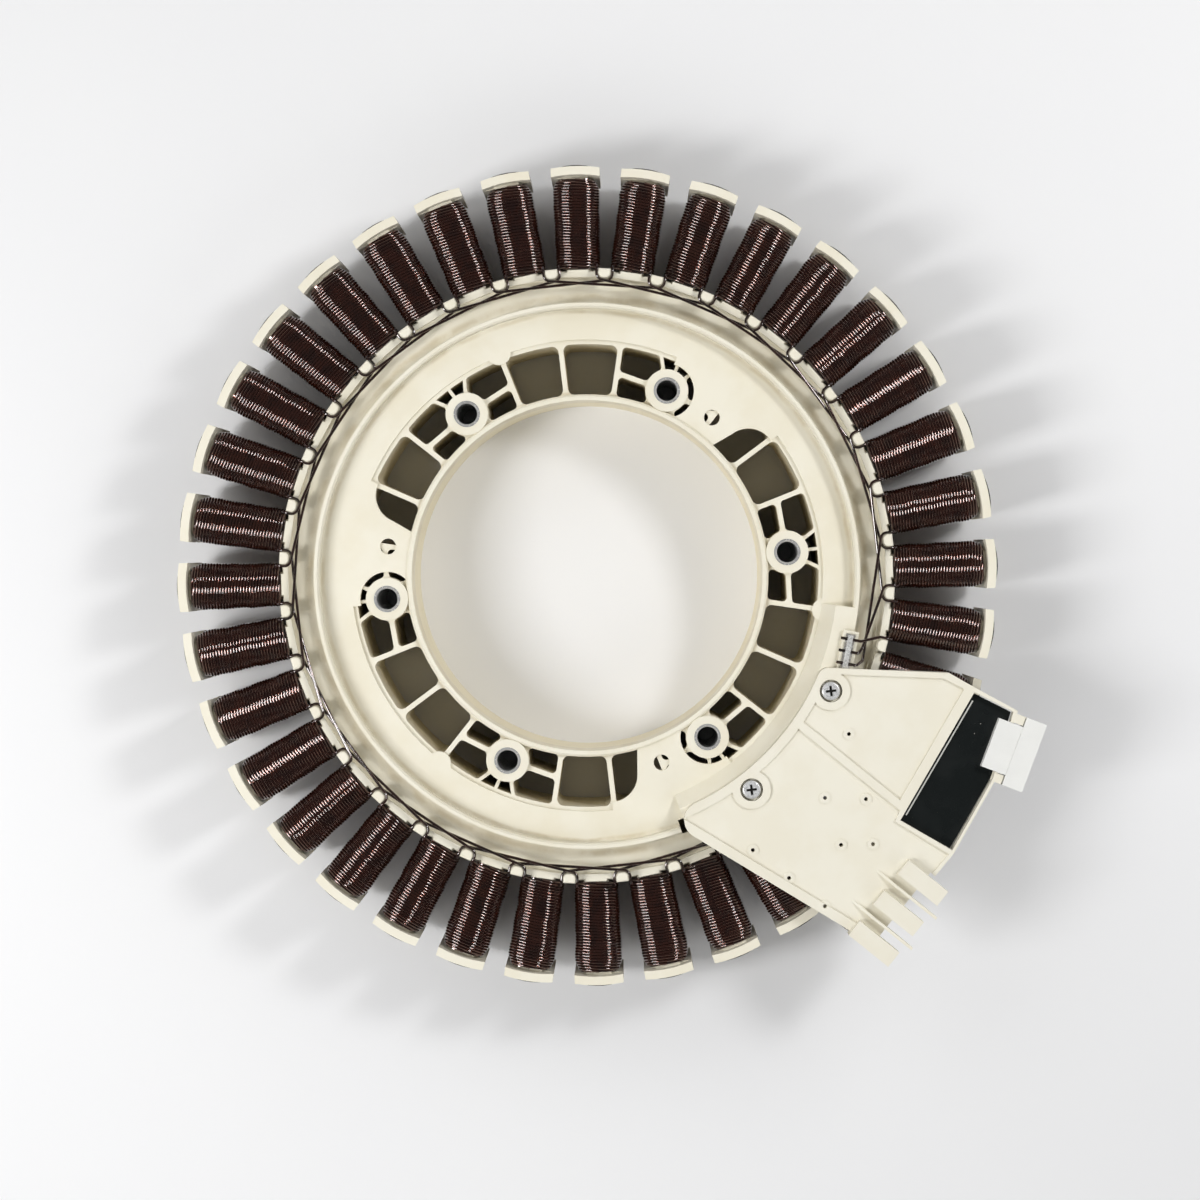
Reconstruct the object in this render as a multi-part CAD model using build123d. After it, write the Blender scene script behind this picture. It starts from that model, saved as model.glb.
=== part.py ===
from build123d import *
import math
import os

# Wound stator of an outer-rotor motor, in millimetres.
# The origin is on the bore axis at the hub's resting face. +Z points to the wiring side.
# +X passes through a mounting bush, and angles run counter-clockwise seen from above.

# Pattern of teeth and phases
TOOTH_COUNT = 36
TOOTH_PITCH = 360 / TOOTH_COUNT
FIRST_TOOTH_ANGLE = TOOTH_PITCH / 2
PHASES = ("u", "v", "w")

# Heights of the core and of the insulators around it
SPLIT_Z = 24.0
CORE_HEIGHT = 20.0
CORE_TOP = SPLIT_Z + CORE_HEIGHT / 2
CORE_BOTTOM = SPLIT_Z - CORE_HEIGHT / 2
CAP_THICKNESS = 1.5
FLOOR_Z = CORE_TOP + CAP_THICKNESS
FIT_GAP = 0.05
CLEARANCE = 0.3

# Lamination core
CORE_BORE_R = 92.0
BACK_IRON_R = 99.1
TOOTH_WIDTH = 6.5
SHOE_X = 131.9
SHOE_WIDTH = 16.0
POLE_FACE_X = 135.1
POLE_FACE_RADIUS = 24.0

# Hub
BORE_R = 57.5
HUB_RING_WALL = 2.0
HUB_RING_R = BORE_R + HUB_RING_WALL
HUB_HEIGHT = 38.0
RING_CHAMFER = 0.6
RIM_STEP = 0.15
WINDOW_R = 76.0
HUB_WALL = 2.0
HUB_WALL_R = WINDOW_R + HUB_WALL
RIB_THICKNESS = 1.6
RIB_DROP = 2.0
RIB_TOP = HUB_HEIGHT - RIB_DROP
SHORT_RIB_THICKNESS = 1.1
SHORT_RIB_SPREAD = 32.0
SPLIT_RIB_R = 67.2
WINDOW_CORNER = 2.2
SMALL_WINDOW_CORNER = 1.4
SMALL_WINDOW_AREA = 110.0
POCKET_AREA = 26.0

# Bushes in the hub's bosses
BUSH_COUNT = 6
BUSH_PITCH = 360 / BUSH_COUNT
BUSH_CIRCLE_R = 66.0
BUSH_R = 4.3
BUSH_BORE_R = 3.4
BUSH_CHAMFER = 0.4
BOSS_R = 7.1
RIBS_BETWEEN_BUSHES = 3

# Plate with its three tabs
PLATE_THICKNESS = 3.0
PLATE_Z = CORE_TOP + PLATE_THICKNESS
PLATE_R = 77.4
TAB_COUNT = 3
TAB_START = 29.6
TAB_END = 60.9
TAB_GAP = 1.8
TAB_BITE_ANGLE = 30.0
TAB_BITE_R = 8.8
TAB_EDGE_TOP = (66.6, 37.6)
TAB_EDGE_FOOT = (57.5, 39.9)
TAB_HOLE_ANGLE = 45.0
TAB_HOLE_R = 2.6
LOBE_ANGLE = 105.0
LOBE_CENTRE_R = 78.6
LOBE_R = 4.0
UNDER_WEB_COUNT = 24
UNDER_WEB_THICKNESS = 1.6

# Guard rib and wire trough
CREST_INNER_R = 87.4
CREST_TOP_R = 89.0
CREST_FOOT_R = 89.8
CREST_Z = 42.5
LEDGE_R = 96.4
LEDGE_Z = 37.2
TROUGH_R = 97.6
LINING = 0.8

# Winding posts and coil flanges
POST_WIDTH = 4.0
POST_INNER_X = 97.2
POST_OUTER_X = 100.2
POST_Z = 44.5
POST_ROUND = 0.6
POST_CORNER_R = 1.6
INNER_FLANGE_WIDTH = 11.5
INNER_FLANGE_X = 99.2
INNER_FLANGE_STEP_WIDTH = 7.0
COIL_SEAT_X = 100.0
FLANGE_Z = 39.5
OUTER_FLANGE_X = 130.6
OUTER_FLANGE_EDGE_X = 134.0
OUTER_FLANGE_WIDTH = 16.0
OUTER_FLANGE_RADIUS = 46.0
OUTER_FLANGE_THICKNESS = 2.75

# Coils
WIRE_R = 0.475
COIL_TURNS = 31
COIL_START_X = COIL_SEAT_X + CLEARANCE
COIL_END_X = OUTER_FLANGE_X - CLEARANCE
COIL_HALF_HEIGHT = 14.5
COIL_WIDTH_AT_ENDS = 14.3
COIL_WIDTH_MAX = 15.4
COIL_WIDEST_AT = 0.78
COIL_CORNER = 4.2
TURN_GROOVE = 0.28

# Wires between coils
POST_WRAP_GAP = 0.1
WRAP_R = POST_CORNER_R + WIRE_R + POST_WRAP_GAP
WRAP_SIDE = POST_WIDTH / 2 + WIRE_R + POST_WRAP_GAP
WIRE_LOW_Z = 40.4
WIRE_HIGH_Z = 42.8
POSTS_PER_LINK = 2
COILS_PER_LINK = len(PHASES)
FIRST_LINK_COIL = 34
LINK_COUNT = TOOTH_COUNT - COILS_PER_LINK
WIRE_EXIT_X = 101.3
WIRE_END_X = 101.4
WIRE_END_Z = 36.2
WIRE_END_SIDE = 6.25
WIRE_BEND_R = 1.6

# Raised deck under the terminal cover
DECK_START = -75.0
DECK_END = -13.5
DECK_INNER_R = 81.7
DECK_WALL = 1.6
PASSAGE_START = -76.4
PASSAGE_END = -73.6
PASSAGE_INNER_R = 85.6
PASSAGE_OUTER_R = 90.4

# Neutral joint: a metal strip in a holder on the deck, square to its own direction
NEUTRAL_ANGLE = -17.7
STRIP_X = 87.95
STRIP_WIDTH = 3.0
STRIP_FIRST_END = -2.3
STRIP_LENGTH = 11.6
STRIP_HEIGHT = 2.7
STRIP_WIRE_SIDES = (-4.0, -8.0, -12.0)
STRIP_WIRE_Z = CREST_Z + 1.1
STRIP_WIRE_INNER_X = 85.0
STRIP_WIRE_OUTER_X = 91.6
STRIP_WIRE_SHIFT = 2.0
STRIP_WIRE_STEP = 1.3
HOLDER_WALL = 1.0
HOLDER_HEIGHT = 1.8

# Terminal cover, in a frame turned to its own middle line
COVER_ANGLE = -45.5
COVER_INNER_R = 81.6
COVER_BOTTOM = 45.5
COVER_FLOOR = 47.7
COVER_TOP = 48.5
COVER_SKIRT = 1.0
COVER_SKIRT_BOTTOM = CREST_Z
COVER_EDGE = [
    (70.0, 18.65),
    (111.1, 49.0),
    (120.3, 50.5),
    (136.2, 53.4),
    (144.5, 31.4),
    (148.9, 4.4),
    (148.8, -5.1),
    (147.0, -5.1),
    (147.0, -34.9),
    (139.7, -35.9),
    (60.0, -46.7),
]
COVER_NEAR_CORNER = 3.3
COVER_FAR_CORNER = 6.0
SKIRT_GAP_INNER_R = 90.6
SKIRT_GAP_OUTER_R = 103.0
RECESS_INNER_R = 84.6
RECESS_BOARD_SIDE = [(70.0, 7.0), (124.5, 7.0), (118.2, 48.0), (111.0, 46.6), (70.0, 16.2)]
RECESS_TERMINAL_SIDE = [
    (60.0, 4.4),
    (126.6, 4.4),
    (127.6, 0.6),
    (147.8, 3.3),
    (147.6, -5.0),
    (150.0, -5.0),
    (150.0, -31.6),
    (139.0, -32.8),
    (60.0, -43.5),
]
HOLE_RING_R = 1.9
HOLE_RING_HEIGHT = 0.35
PIN_HOLE_R = 0.65
PIN_HOLES = [
    (98.3, 13.3),
    (105.2, -7.7),
    (115.8, 0.3),
    (97.6, -35.5),
    (112.4, -35.2),
    (118.8, -16.3),
    (126.7, -9.6),
    (127.1, -35.0),
]

# Terminal fingers and the walls between them
FINGER_COUNT = 3
FINGER_PITCH = 12.6
FIRST_FINGER_SIDE = -9.2
FINGER_WIDTH = 5.8
FINGER_START = 138.5
FINGER_END = 154.8
FINGER_TOP = 51.5
BLADE_START = 133.0
BLADE_RISE = 8.0
BLADE_END = 157.5
BLADE_THICKNESS = 0.9
BLADE_TOP = 50.0

# Phase tabs under the fingers
TAB_WIDTH = 4.8
TAB_THICKNESS = 0.8
TAB_INNER = 126.0
TAB_OUTER = 152.5
TAB_TIP = 1.2

# Sensor board and its header
BOARD_OPENING = [(121.4, 49.3), (135.3, 52.2), (143.6, 31.2), (147.9, 4.9), (128.7, 1.9)]
BOARD_EDGE = [(120.0, 48.6), (135.0, 51.8), (143.2, 31.2), (147.5, 3.6), (127.2, 0.4)]
BOARD_THICKNESS = 1.6
SENSOR_COUNT = 3
SENSOR_CIRCLE_R = 134.0
SENSOR_FIRST_ANGLE = -28.0
SENSOR_PITCH = 6.67
SENSOR_SIZE = (3.2, 4.1, 1.6)
HEADER_CENTRE = (135.5, 39.9)
HEADER_TURN = 18.2
HEADER_NECK_LENGTH = 8.3
HEADER_NECK_WIDTH = 16.6
HEADER_NECK_TOP = 49.0
HEADER_LENGTH = 6.9
HEADER_WIDTH = 23.2
HEADER_BOTTOM = 41.5
HEADER_TOP = 49.3
HEADER_WALL = 1.0
HEADER_BACK = 1.6
HEADER_PIN_COUNT = 7
HEADER_PIN_PITCH = 2.5
HEADER_PIN_SIZE = 0.64
HEADER_PIN_START = 1.5
HEADER_PIN_TIP = 1.0
LUG_LENGTH = 3.4
LUG_WIDTH = 3.0
LUG_START = 4.6

# Screws that hold the cover
SCREW_X = 85.0
SCREW_SIDE = 20.5
SCREW_HEAD_R = 3.0
SCREW_HEAD_HEIGHT = 2.1
SCREW_SEAT_Z = 46.5
SCREW_SHANK_R = 1.5
SCREW_LENGTH = 10.0
SCREW_POCKET_R = 3.7
SCREW_COLLAR_R = 6.2
SCREW_PILLAR_R = 3.6
CROSS_WIDTH = 0.8
CROSS_LENGTH = 3.4
CROSS_DEPTH = 1.2

# Leads from the last coils to the phase tabs
LEAD_COILS = (33, 32, 31)
LEAD_START_SIDE = -2.2
LEAD_START_X = 105.0
LEAD_START_Z = 39.1
LEAD_RISE_X = 110.0
LEAD_Z = COVER_BOTTOM - TAB_THICKNESS - WIRE_R
LEAD_ON_TAB = 2.0
LEAD_SPREAD_X = 122.0


def tooth_angle(index):
    """Angle of a tooth's middle line."""
    return FIRST_TOOTH_ANGLE + TOOTH_PITCH * index


def turned(shape, degrees):
    """The shape turned about the bore axis."""
    return Rot(0, 0, degrees) * shape


def prism(profile, bottom, top):
    """A flat profile made solid between two heights."""
    return extrude(Pos(0, 0, bottom) * profile, amount=top - bottom, dir=(0, 0, 1))


def block(x_start, x_end, y_start, y_end, bottom, top):
    """A rectangular block between its six limits."""
    size = (x_end - x_start, y_end - y_start, top - bottom)
    middle = ((x_start + x_end) / 2, (y_start + y_end) / 2, (bottom + top) / 2)
    return Pos(*middle) * Box(*size)


def ring(inner, outer):
    """A flat ring about the bore axis."""
    return Circle(outer) - Circle(inner)


def bar(start, end, width):
    """A flat straight bar between two points."""
    run = (end[0] - start[0], end[1] - start[1])
    length = math.hypot(*run)
    flat = Rectangle(length, width, align=(Align.MIN, Align.CENTER))
    return Pos(*start) * Rot(0, 0, math.degrees(math.atan2(run[1], run[0]))) * flat


def polar(radius, degrees):
    """X and Y of a point given by radius and angle."""
    return (radius * math.cos(math.radians(degrees)), radius * math.sin(math.radians(degrees)))


def placed(point, degrees):
    """X and Y of a point given in a frame that is turned about the bore axis."""
    c = math.cos(math.radians(degrees))
    s = math.sin(math.radians(degrees))
    return (point[0] * c - point[1] * s, point[0] * s + point[1] * c)


def outline(points):
    """A flat closed polygon in true position."""
    return make_face(Polyline(*points, close=True))


# Hub: ring, ribs, bosses and outer wall


def boss_ribs():
    """The ribs around one boss on +X: two straight ones to its neighbours and three short ones outwards."""
    reach = WINDOW_R - BUSH_CIRCLE_R + HUB_WALL
    rib_step = BUSH_PITCH / (RIBS_BETWEEN_BUSHES + 1)
    ribs = []
    for side in (-1, 1):
        ribs.append(bar((BUSH_CIRCLE_R, 0), polar(SPLIT_RIB_R, side * rib_step), RIB_THICKNESS))
    for spread in (-SHORT_RIB_SPREAD, 0, SHORT_RIB_SPREAD):
        tip = polar(reach, spread)
        ribs.append(bar((BUSH_CIRCLE_R, 0), (BUSH_CIRCLE_R + tip[0], tip[1]), SHORT_RIB_THICKNESS))
    return ribs


def rounded_window(face):
    """A window with its corners rounded, more in a large one than in a small one. A pocket stays sharp."""
    if face.area < POCKET_AREA:
        return face
    radius = SMALL_WINDOW_CORNER if face.area < SMALL_WINDOW_AREA else WINDOW_CORNER
    return face.fillet_2d(radius, face.vertices())


def hub_lattice():
    """Flat profile of the hub with its windows and bush holes."""
    field = ring(HUB_RING_R, WINDOW_R)
    solid_lines = []
    for bush in range(BUSH_COUNT):
        angle = bush * BUSH_PITCH
        rib_step = BUSH_PITCH / (RIBS_BETWEEN_BUSHES + 1)
        for step in range(1, RIBS_BETWEEN_BUSHES + 1):
            ray = angle + step * rib_step
            solid_lines.append(bar(polar(BORE_R, ray), polar(HUB_WALL_R, ray), RIB_THICKNESS))
        solid_lines += [turned(rib, angle) for rib in boss_ribs()]
        solid_lines.append(turned(Pos(BUSH_CIRCLE_R, 0) * Circle(BOSS_R), angle))
    field = field - solid_lines
    windows = [rounded_window(face) for face in field.faces()]
    return ring(BORE_R, HUB_WALL_R) - windows - bush_holes()


def bush_holes():
    """Flat circles of the holes that hold the bushes."""
    hole = Pos(BUSH_CIRCLE_R, 0) * Circle(BUSH_R + FIT_GAP)
    return [turned(hole, bush * BUSH_PITCH) for bush in range(BUSH_COUNT)]


def boss_profile():
    """Flat profile of the six bosses' raised ends without their holes."""
    centre = Pos(BUSH_CIRCLE_R, 0)
    boss = centre * Circle(BOSS_R - RIM_STEP) - centre * Circle(BUSH_R + FIT_GAP)
    return [turned(boss, bush * BUSH_PITCH) for bush in range(BUSH_COUNT)]


def raised_rim(bottom, top):
    """The hub ring's rim with its edge chamfered at the end away from the split."""
    outer = HUB_RING_R - RIM_STEP
    if top > SPLIT_Z:
        chamfered = [(outer, top - RING_CHAMFER), (outer - RING_CHAMFER, top)]
        section = [(BORE_R, bottom), (outer, bottom)] + chamfered + [(BORE_R, top)]
    else:
        chamfered = [(outer - RING_CHAMFER, bottom), (outer, bottom + RING_CHAMFER)]
        section = [(BORE_R, bottom)] + chamfered + [(outer, top), (BORE_R, top)]
    return revolved(section)


def revolved(section, arc=360.0, start=0.0):
    """A section given as radius and height, turned about the bore axis."""
    face = make_face(Polyline(*[(r, 0, z) for r, z in section], close=True))
    return turned(revolve(face, axis=Axis.Z, revolution_arc=arc), start)


# One tooth's share of an insulator, on +X, for the upper half


def flange_face(start_x, edge_x, width, radius):
    """Flat profile of a block whose outer face is curved."""
    curve = Pos(edge_x - radius, 0) * Circle(radius)
    strip = Pos(start_x, 0) * Rectangle(radius, width, align=(Align.MIN, Align.CENTER))
    return curve & strip


def outer_flange():
    """Flat profile of the outer coil flange, curved on both faces."""
    start = OUTER_FLANGE_X - CLEARANCE
    blank = flange_face(start, OUTER_FLANGE_EDGE_X, OUTER_FLANGE_WIDTH, OUTER_FLANGE_RADIUS)
    inner = Circle(OUTER_FLANGE_RADIUS - OUTER_FLANGE_THICKNESS)
    return blank - Pos(OUTER_FLANGE_EDGE_X - OUTER_FLANGE_RADIUS, 0) * inner


def tooth_lining():
    """Cap, side walls and both coil flanges of one tooth, upper half."""
    half_channel = TOOTH_WIDTH / 2 + LINING
    half_flange = OUTER_FLANGE_WIDTH / 2
    seat_start = BACK_IRON_R + CLEARANCE / 2
    parts = [block(BACK_IRON_R - LINING, SHOE_X, -half_channel, half_channel, CORE_TOP, FLOOR_Z)]
    for side in (-1, 1):
        inner = side * (TOOTH_WIDTH / 2 + FIT_GAP)
        edges = sorted((inner, side * half_channel))
        parts.append(block(seat_start, SHOE_X - FIT_GAP, *edges, SPLIT_Z, FLOOR_Z))
        edges = sorted((inner, side * COIL_WIDTH_AT_ENDS / 2))
        parts.append(block(seat_start, COIL_SEAT_X, *edges, SPLIT_Z, FLOOR_Z))
        edges = sorted((inner, side * half_flange))
        parts.append(block(OUTER_FLANGE_X, SHOE_X - FIT_GAP, *edges, SPLIT_Z, CORE_TOP))
    parts.append(prism(outer_flange(), CORE_TOP, FLANGE_Z))
    half_wall = INNER_FLANGE_WIDTH / 2
    parts.append(block(TROUGH_R, INNER_FLANGE_X, -half_wall, half_wall, CORE_TOP, FLANGE_Z))
    half_step = INNER_FLANGE_STEP_WIDTH / 2
    parts.append(block(INNER_FLANGE_X, COIL_SEAT_X, -half_step, half_step, CORE_TOP, FLANGE_Z))
    return parts


def winding_post():
    """One post for the link wires, with its corners on the side of the bore and its top edge rounded."""
    length = POST_OUTER_X - POST_INNER_X
    face = Pos(POST_INNER_X, 0) * Rectangle(length, POST_WIDTH, align=(Align.MIN, Align.CENTER))
    face = fillet(face.vertices().group_by(Axis.X)[0], POST_CORNER_R)
    post = prism(face, CORE_TOP, POST_Z)
    return fillet(post.edges().group_by(Axis.Z)[-1], POST_ROUND)


def upper_tooth_set():
    """Everything that repeats with each tooth on the upper insulator."""
    lining = tooth_lining()
    unit = lining[0].fuse(*lining[1:])
    post = turned(winding_post(), -TOOTH_PITCH / 2)
    units = []
    for index in range(TOOTH_COUNT):
        units.append(turned(unit, tooth_angle(index)))
        units.append(turned(post, tooth_angle(index)))
    return units


def lower_tooth_set():
    """The same lining for the lower insulator, with no posts."""
    lining = tooth_lining()
    unit = lining[0].fuse(*lining[1:])
    flipped = mirror(unit, about=Plane.XY.offset(SPLIT_Z))
    return [turned(flipped, tooth_angle(index)) for index in range(TOOTH_COUNT)]


# Upper insulator


def plate_profile():
    """Flat profile of the plate with its tabs, lobes and the gaps around three bosses."""
    plate = ring(PLATE_R, CREST_FOOT_R)
    extras = []
    cuts = []
    for tab in range(TAB_COUNT):
        angle = tab * 360 / TAB_COUNT
        extras.append(turned(tab_profile(), angle))
        extras.append(turned(Pos(*polar(LOBE_CENTRE_R, LOBE_ANGLE)) * Circle(LOBE_R), angle))
        cuts.append(turned(Pos(*polar(BUSH_CIRCLE_R, BUSH_PITCH)) * Circle(BOSS_R + TAB_GAP), angle))
    return (plate + extras) - cuts


def tab_profile():
    """Flat profile of one tab with its locating hole."""
    inner = [polar(HUB_RING_R - HUB_RING_WALL / 2, a) for a in (TAB_END, TAB_HOLE_ANGLE, TAB_BITE_ANGLE)]
    outer = [polar(PLATE_R + HUB_WALL, a) for a in (TAB_START, TAB_HOLE_ANGLE, TAB_END)]
    middle_in = polar(HUB_RING_R - HUB_RING_WALL / 2, TAB_HOLE_ANGLE)
    edge = Polyline(inner[2], polar(PLATE_R, TAB_START), outer[0])
    outer_arc = ThreePointArc(*outer)
    edge_back = Line(outer[2], inner[0])
    inner_arc = ThreePointArc(inner[0], middle_in, inner[2])
    blank = make_face(edge + outer_arc + edge_back + inner_arc)
    bite = Pos(*polar(BUSH_CIRCLE_R, TAB_BITE_ANGLE)) * Circle(TAB_BITE_R)
    clear_angle = TAB_BITE_ANGLE - TOOTH_PITCH / 2
    low_corner = outline(
        [
            polar(BUSH_CIRCLE_R, clear_angle),
            polar(BUSH_CIRCLE_R, TAB_BITE_ANGLE),
            polar(*TAB_EDGE_TOP),
            polar(*TAB_EDGE_FOOT),
            polar(BORE_R - HUB_RING_WALL, clear_angle),
        ]
    )
    hole = Pos(*polar(BUSH_CIRCLE_R, TAB_HOLE_ANGLE)) * Circle(TAB_HOLE_R)
    ring_hole = Circle(HUB_RING_R - RING_CHAMFER)
    return blank - bite - low_corner - hole - ring_hole


def crest():
    """The raised guard rib with its sloped outer side."""
    section = [
        (CREST_INNER_R, CORE_TOP),
        (CREST_INNER_R, CREST_Z - POST_ROUND),
        (CREST_INNER_R + POST_ROUND, CREST_Z),
        (CREST_TOP_R, CREST_Z),
        (CREST_FOOT_R, FLOOR_Z),
        (CREST_FOOT_R, CORE_TOP),
    ]
    return revolved(section)


def deck():
    """The raised deck inside the guard rib, under the terminal cover."""
    section = [(PLATE_R, PLATE_Z), (DECK_INNER_R, CREST_Z), (CREST_TOP_R, CREST_Z), (CREST_TOP_R, PLATE_Z)]
    return revolved(section, DECK_END - DECK_START, DECK_START)


def deck_hollow():
    """The space under the deck, open to the hollow side of the plate."""
    inner = DECK_INNER_R + DECK_WALL / 2
    outer = CREST_INNER_R - FIT_GAP
    under = CREST_Z - DECK_WALL
    section = [(inner, SPLIT_Z), (inner, under), (outer, under), (outer, SPLIT_Z)]
    margin = DECK_WALL / 2
    return revolved(section, DECK_END - DECK_START - 2 * margin, DECK_START + margin)


def screw_places():
    """Centres of the two cover screws."""
    return [placed((SCREW_X, side * SCREW_SIDE), COVER_ANGLE) for side in (1, -1)]


def screw_columns(radius):
    """Upright cylinders about both screws, from the core up to the deck."""
    return [prism(Pos(*place) * Circle(radius), CORE_TOP, CREST_Z) for place in screw_places()]


def neutral_holder():
    """Walls on the deck that hold the neutral joint's strip."""
    low = STRIP_X - STRIP_WIDTH / 2 - FIT_GAP
    high = STRIP_X + STRIP_WIDTH / 2 + FIT_GAP
    end = STRIP_FIRST_END - STRIP_LENGTH
    top = CREST_Z + HOLDER_HEIGHT
    first = STRIP_FIRST_END + FIT_GAP
    walls = block(low - HOLDER_WALL, low, end, first + HOLDER_WALL, PLATE_Z, top)
    walls += block(high, high + HOLDER_WALL, end, first + HOLDER_WALL, PLATE_Z, top)
    walls += block(low - HOLDER_WALL, high + HOLDER_WALL, first, first + HOLDER_WALL, PLATE_Z, top)
    for side in STRIP_WIRE_SIDES:
        walls -= wire_slot(side)
    return turned(walls, NEUTRAL_ANGLE)


def wire_slot(side):
    """A slot across the strip or its holder for one wire."""
    half = WIRE_R + FIT_GAP
    bottom = STRIP_WIRE_Z - half
    top = CREST_Z + STRIP_HEIGHT + CLEARANCE
    return block(STRIP_WIRE_INNER_X - CLEARANCE, STRIP_WIRE_OUTER_X, side - half, side + half, bottom, top)


def under_webs(bottom, top):
    """Radial webs between the hub's outer wall and the skirt inside the core."""
    outer = CORE_BORE_R - FIT_GAP - LINING / 2
    webs = []
    for index in range(UNDER_WEB_COUNT):
        ray = (index + 0.5) * 360 / UNDER_WEB_COUNT
        web = bar(polar(HUB_WALL_R - HUB_WALL / 2, ray), polar(outer, ray), UNDER_WEB_THICKNESS)
        webs.append(prism(web, bottom, top))
    return webs


def core_skirt(bottom, top):
    """The thin wall that locates an insulator in the core's bore."""
    outer = CORE_BORE_R - FIT_GAP
    return prism(ring(outer - LINING, outer), bottom, top)


def joined(groups):
    """Groups of features fused one group after another."""
    body = groups[0][0]
    for group in groups[1:]:
        body = body.fuse(*group)
    return body


def upper_insulator():
    """One moulding: upper half of the hub, plate, trough, posts and tooth linings."""
    body = joined(
        [
            [prism(hub_lattice(), SPLIT_Z, RIB_TOP)],
            [raised_rim(RIB_TOP, HUB_HEIGHT)],
            [prism(boss, RIB_TOP, HUB_HEIGHT) for boss in boss_profile()],
            [prism(ring(CREST_INNER_R, COIL_SEAT_X - LINING / 2), CORE_TOP, FLOOR_Z)],
            [prism(ring(LEDGE_R, INNER_FLANGE_X - LINING), CORE_TOP, LEDGE_Z)],
            [core_skirt(SPLIT_Z, FLOOR_Z)],
            [prism(plate_profile(), CORE_TOP, PLATE_Z)],
            [crest()],
            [deck()],
            under_webs(SPLIT_Z, PLATE_Z - PLATE_THICKNESS / 2),
        ]
    )
    body = body.cut(deck_hollow())
    body = body.fuse(*screw_columns(SCREW_PILLAR_R))
    body = body.fuse(neutral_holder())
    body = body.cut(*screw_columns(SCREW_SHANK_R + FIT_GAP))
    body = body.cut(wire_passage())
    return body.fuse(*upper_tooth_set())


def wire_passage():
    """The slot through the guard rib at the deck's end."""
    section = [
        (PASSAGE_INNER_R, CORE_TOP),
        (PASSAGE_OUTER_R, CORE_TOP),
        (PASSAGE_OUTER_R, POST_Z),
        (PASSAGE_INNER_R, POST_Z),
    ]
    return revolved(section, PASSAGE_END - PASSAGE_START, PASSAGE_START)


# Lower insulator


def lower_insulator():
    """One moulding: lower half of the hub, floor ring and tooth linings."""
    floor_bottom = CORE_BOTTOM - CAP_THICKNESS
    floor = ring(HUB_WALL_R - HUB_WALL / 2, COIL_SEAT_X - LINING / 2)
    return joined(
        [
            [prism(hub_lattice(), RIB_DROP, SPLIT_Z)],
            [raised_rim(0, RIB_DROP)],
            [prism(boss, 0, RIB_DROP) for boss in boss_profile()],
            [prism(floor, floor_bottom, CORE_BOTTOM)],
            [core_skirt(floor_bottom, SPLIT_Z)],
            under_webs(floor_bottom, SPLIT_Z),
            lower_tooth_set(),
        ]
    )


# Core, bushes and coils


def stator_core():
    """The stack of laminations with its teeth and pole shoes."""
    tooth = bar((BACK_IRON_R - LINING, 0), (POLE_FACE_X - LINING, 0), TOOTH_WIDTH)
    tooth += flange_face(SHOE_X, POLE_FACE_X, SHOE_WIDTH, POLE_FACE_RADIUS)
    profile = ring(CORE_BORE_R, BACK_IRON_R) + [turned(tooth, tooth_angle(i)) for i in range(TOOTH_COUNT)]
    return prism(profile, CORE_BOTTOM, CORE_TOP)


def bush(index):
    """A steel bush with chamfered rims."""
    body = prism(Circle(BUSH_R) - Circle(BUSH_BORE_R), 0, HUB_HEIGHT)
    rims = body.edges().filter_by(GeomType.CIRCLE).filter_by(lambda e: e.radius < BUSH_R - FIT_GAP)
    body = chamfer(rims, BUSH_CHAMFER)
    return turned(Pos(BUSH_CIRCLE_R, 0, 0) * body, index * BUSH_PITCH)


def coil_section(x, inset):
    """Corners of the coil's section at a distance from the bore axis, drawn in by the inset."""
    share = (x - COIL_START_X) / (COIL_END_X - COIL_START_X)
    near = share / COIL_WIDEST_AT
    far = (1 - share) / (1 - COIL_WIDEST_AT)
    width = COIL_WIDTH_AT_ENDS + (COIL_WIDTH_MAX - COIL_WIDTH_AT_ENDS) * min(near, far, 1)
    w = width / 2 - inset
    h = COIL_HALF_HEIGHT - inset
    c = COIL_CORNER
    upper = [(w, h - c), (w - c, h), (c - w, h), (-w, h - c)]
    lower = [(-w, c - h), (c - w, -h), (w - c, -h), (w, c - h)]
    return [(x, y, SPLIT_Z + z) for y, z in upper + lower]


def wound_coil():
    """One coil on +X: a ridge for each turn round the insulated tooth."""
    steps = 2 * COIL_TURNS
    pitch = (COIL_END_X - COIL_START_X) / steps
    rings = []
    for step in range(steps + 1):
        inset = TURN_GROOVE if step % 2 == 0 else 0
        rings.append(coil_section(COIL_START_X + step * pitch, inset))
    faces = [polygon_face(rings[0]), polygon_face(rings[-1])]
    for near, far in zip(rings, rings[1:]):
        for i, corner in enumerate(near):
            j = (i + 1) % len(near)
            faces.append(polygon_face([corner, near[j], far[j], far[i]]))
    body = Solid(Shell(faces))
    half_channel = TOOTH_WIDTH / 2 + LINING
    bottom = CORE_BOTTOM - CAP_THICKNESS
    ends = (COIL_START_X - CLEARANCE, COIL_END_X + CLEARANCE)
    return body - block(*ends, -half_channel, half_channel, bottom, FLOOR_Z)


def polygon_face(points):
    """A flat face through its corners."""
    return Face(Wire.make_polygon(points, close=True))


# Wires


def tube(points, radii):
    """A round wire along straight runs joined by tangent arcs."""
    path = FilletPolyline(*points, radius=radii)
    start = Vector(*points[0])
    section = Plane(origin=start, z_dir=Vector(*points[1]) - start) * Circle(WIRE_R)
    return sweep(section, path=path)


def beside_post(angle, side, x):
    """X and Y beside a post at an angle, on its lower (-1) or higher (1) angle side."""
    return placed((x, side * WRAP_SIDE), angle)


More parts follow.
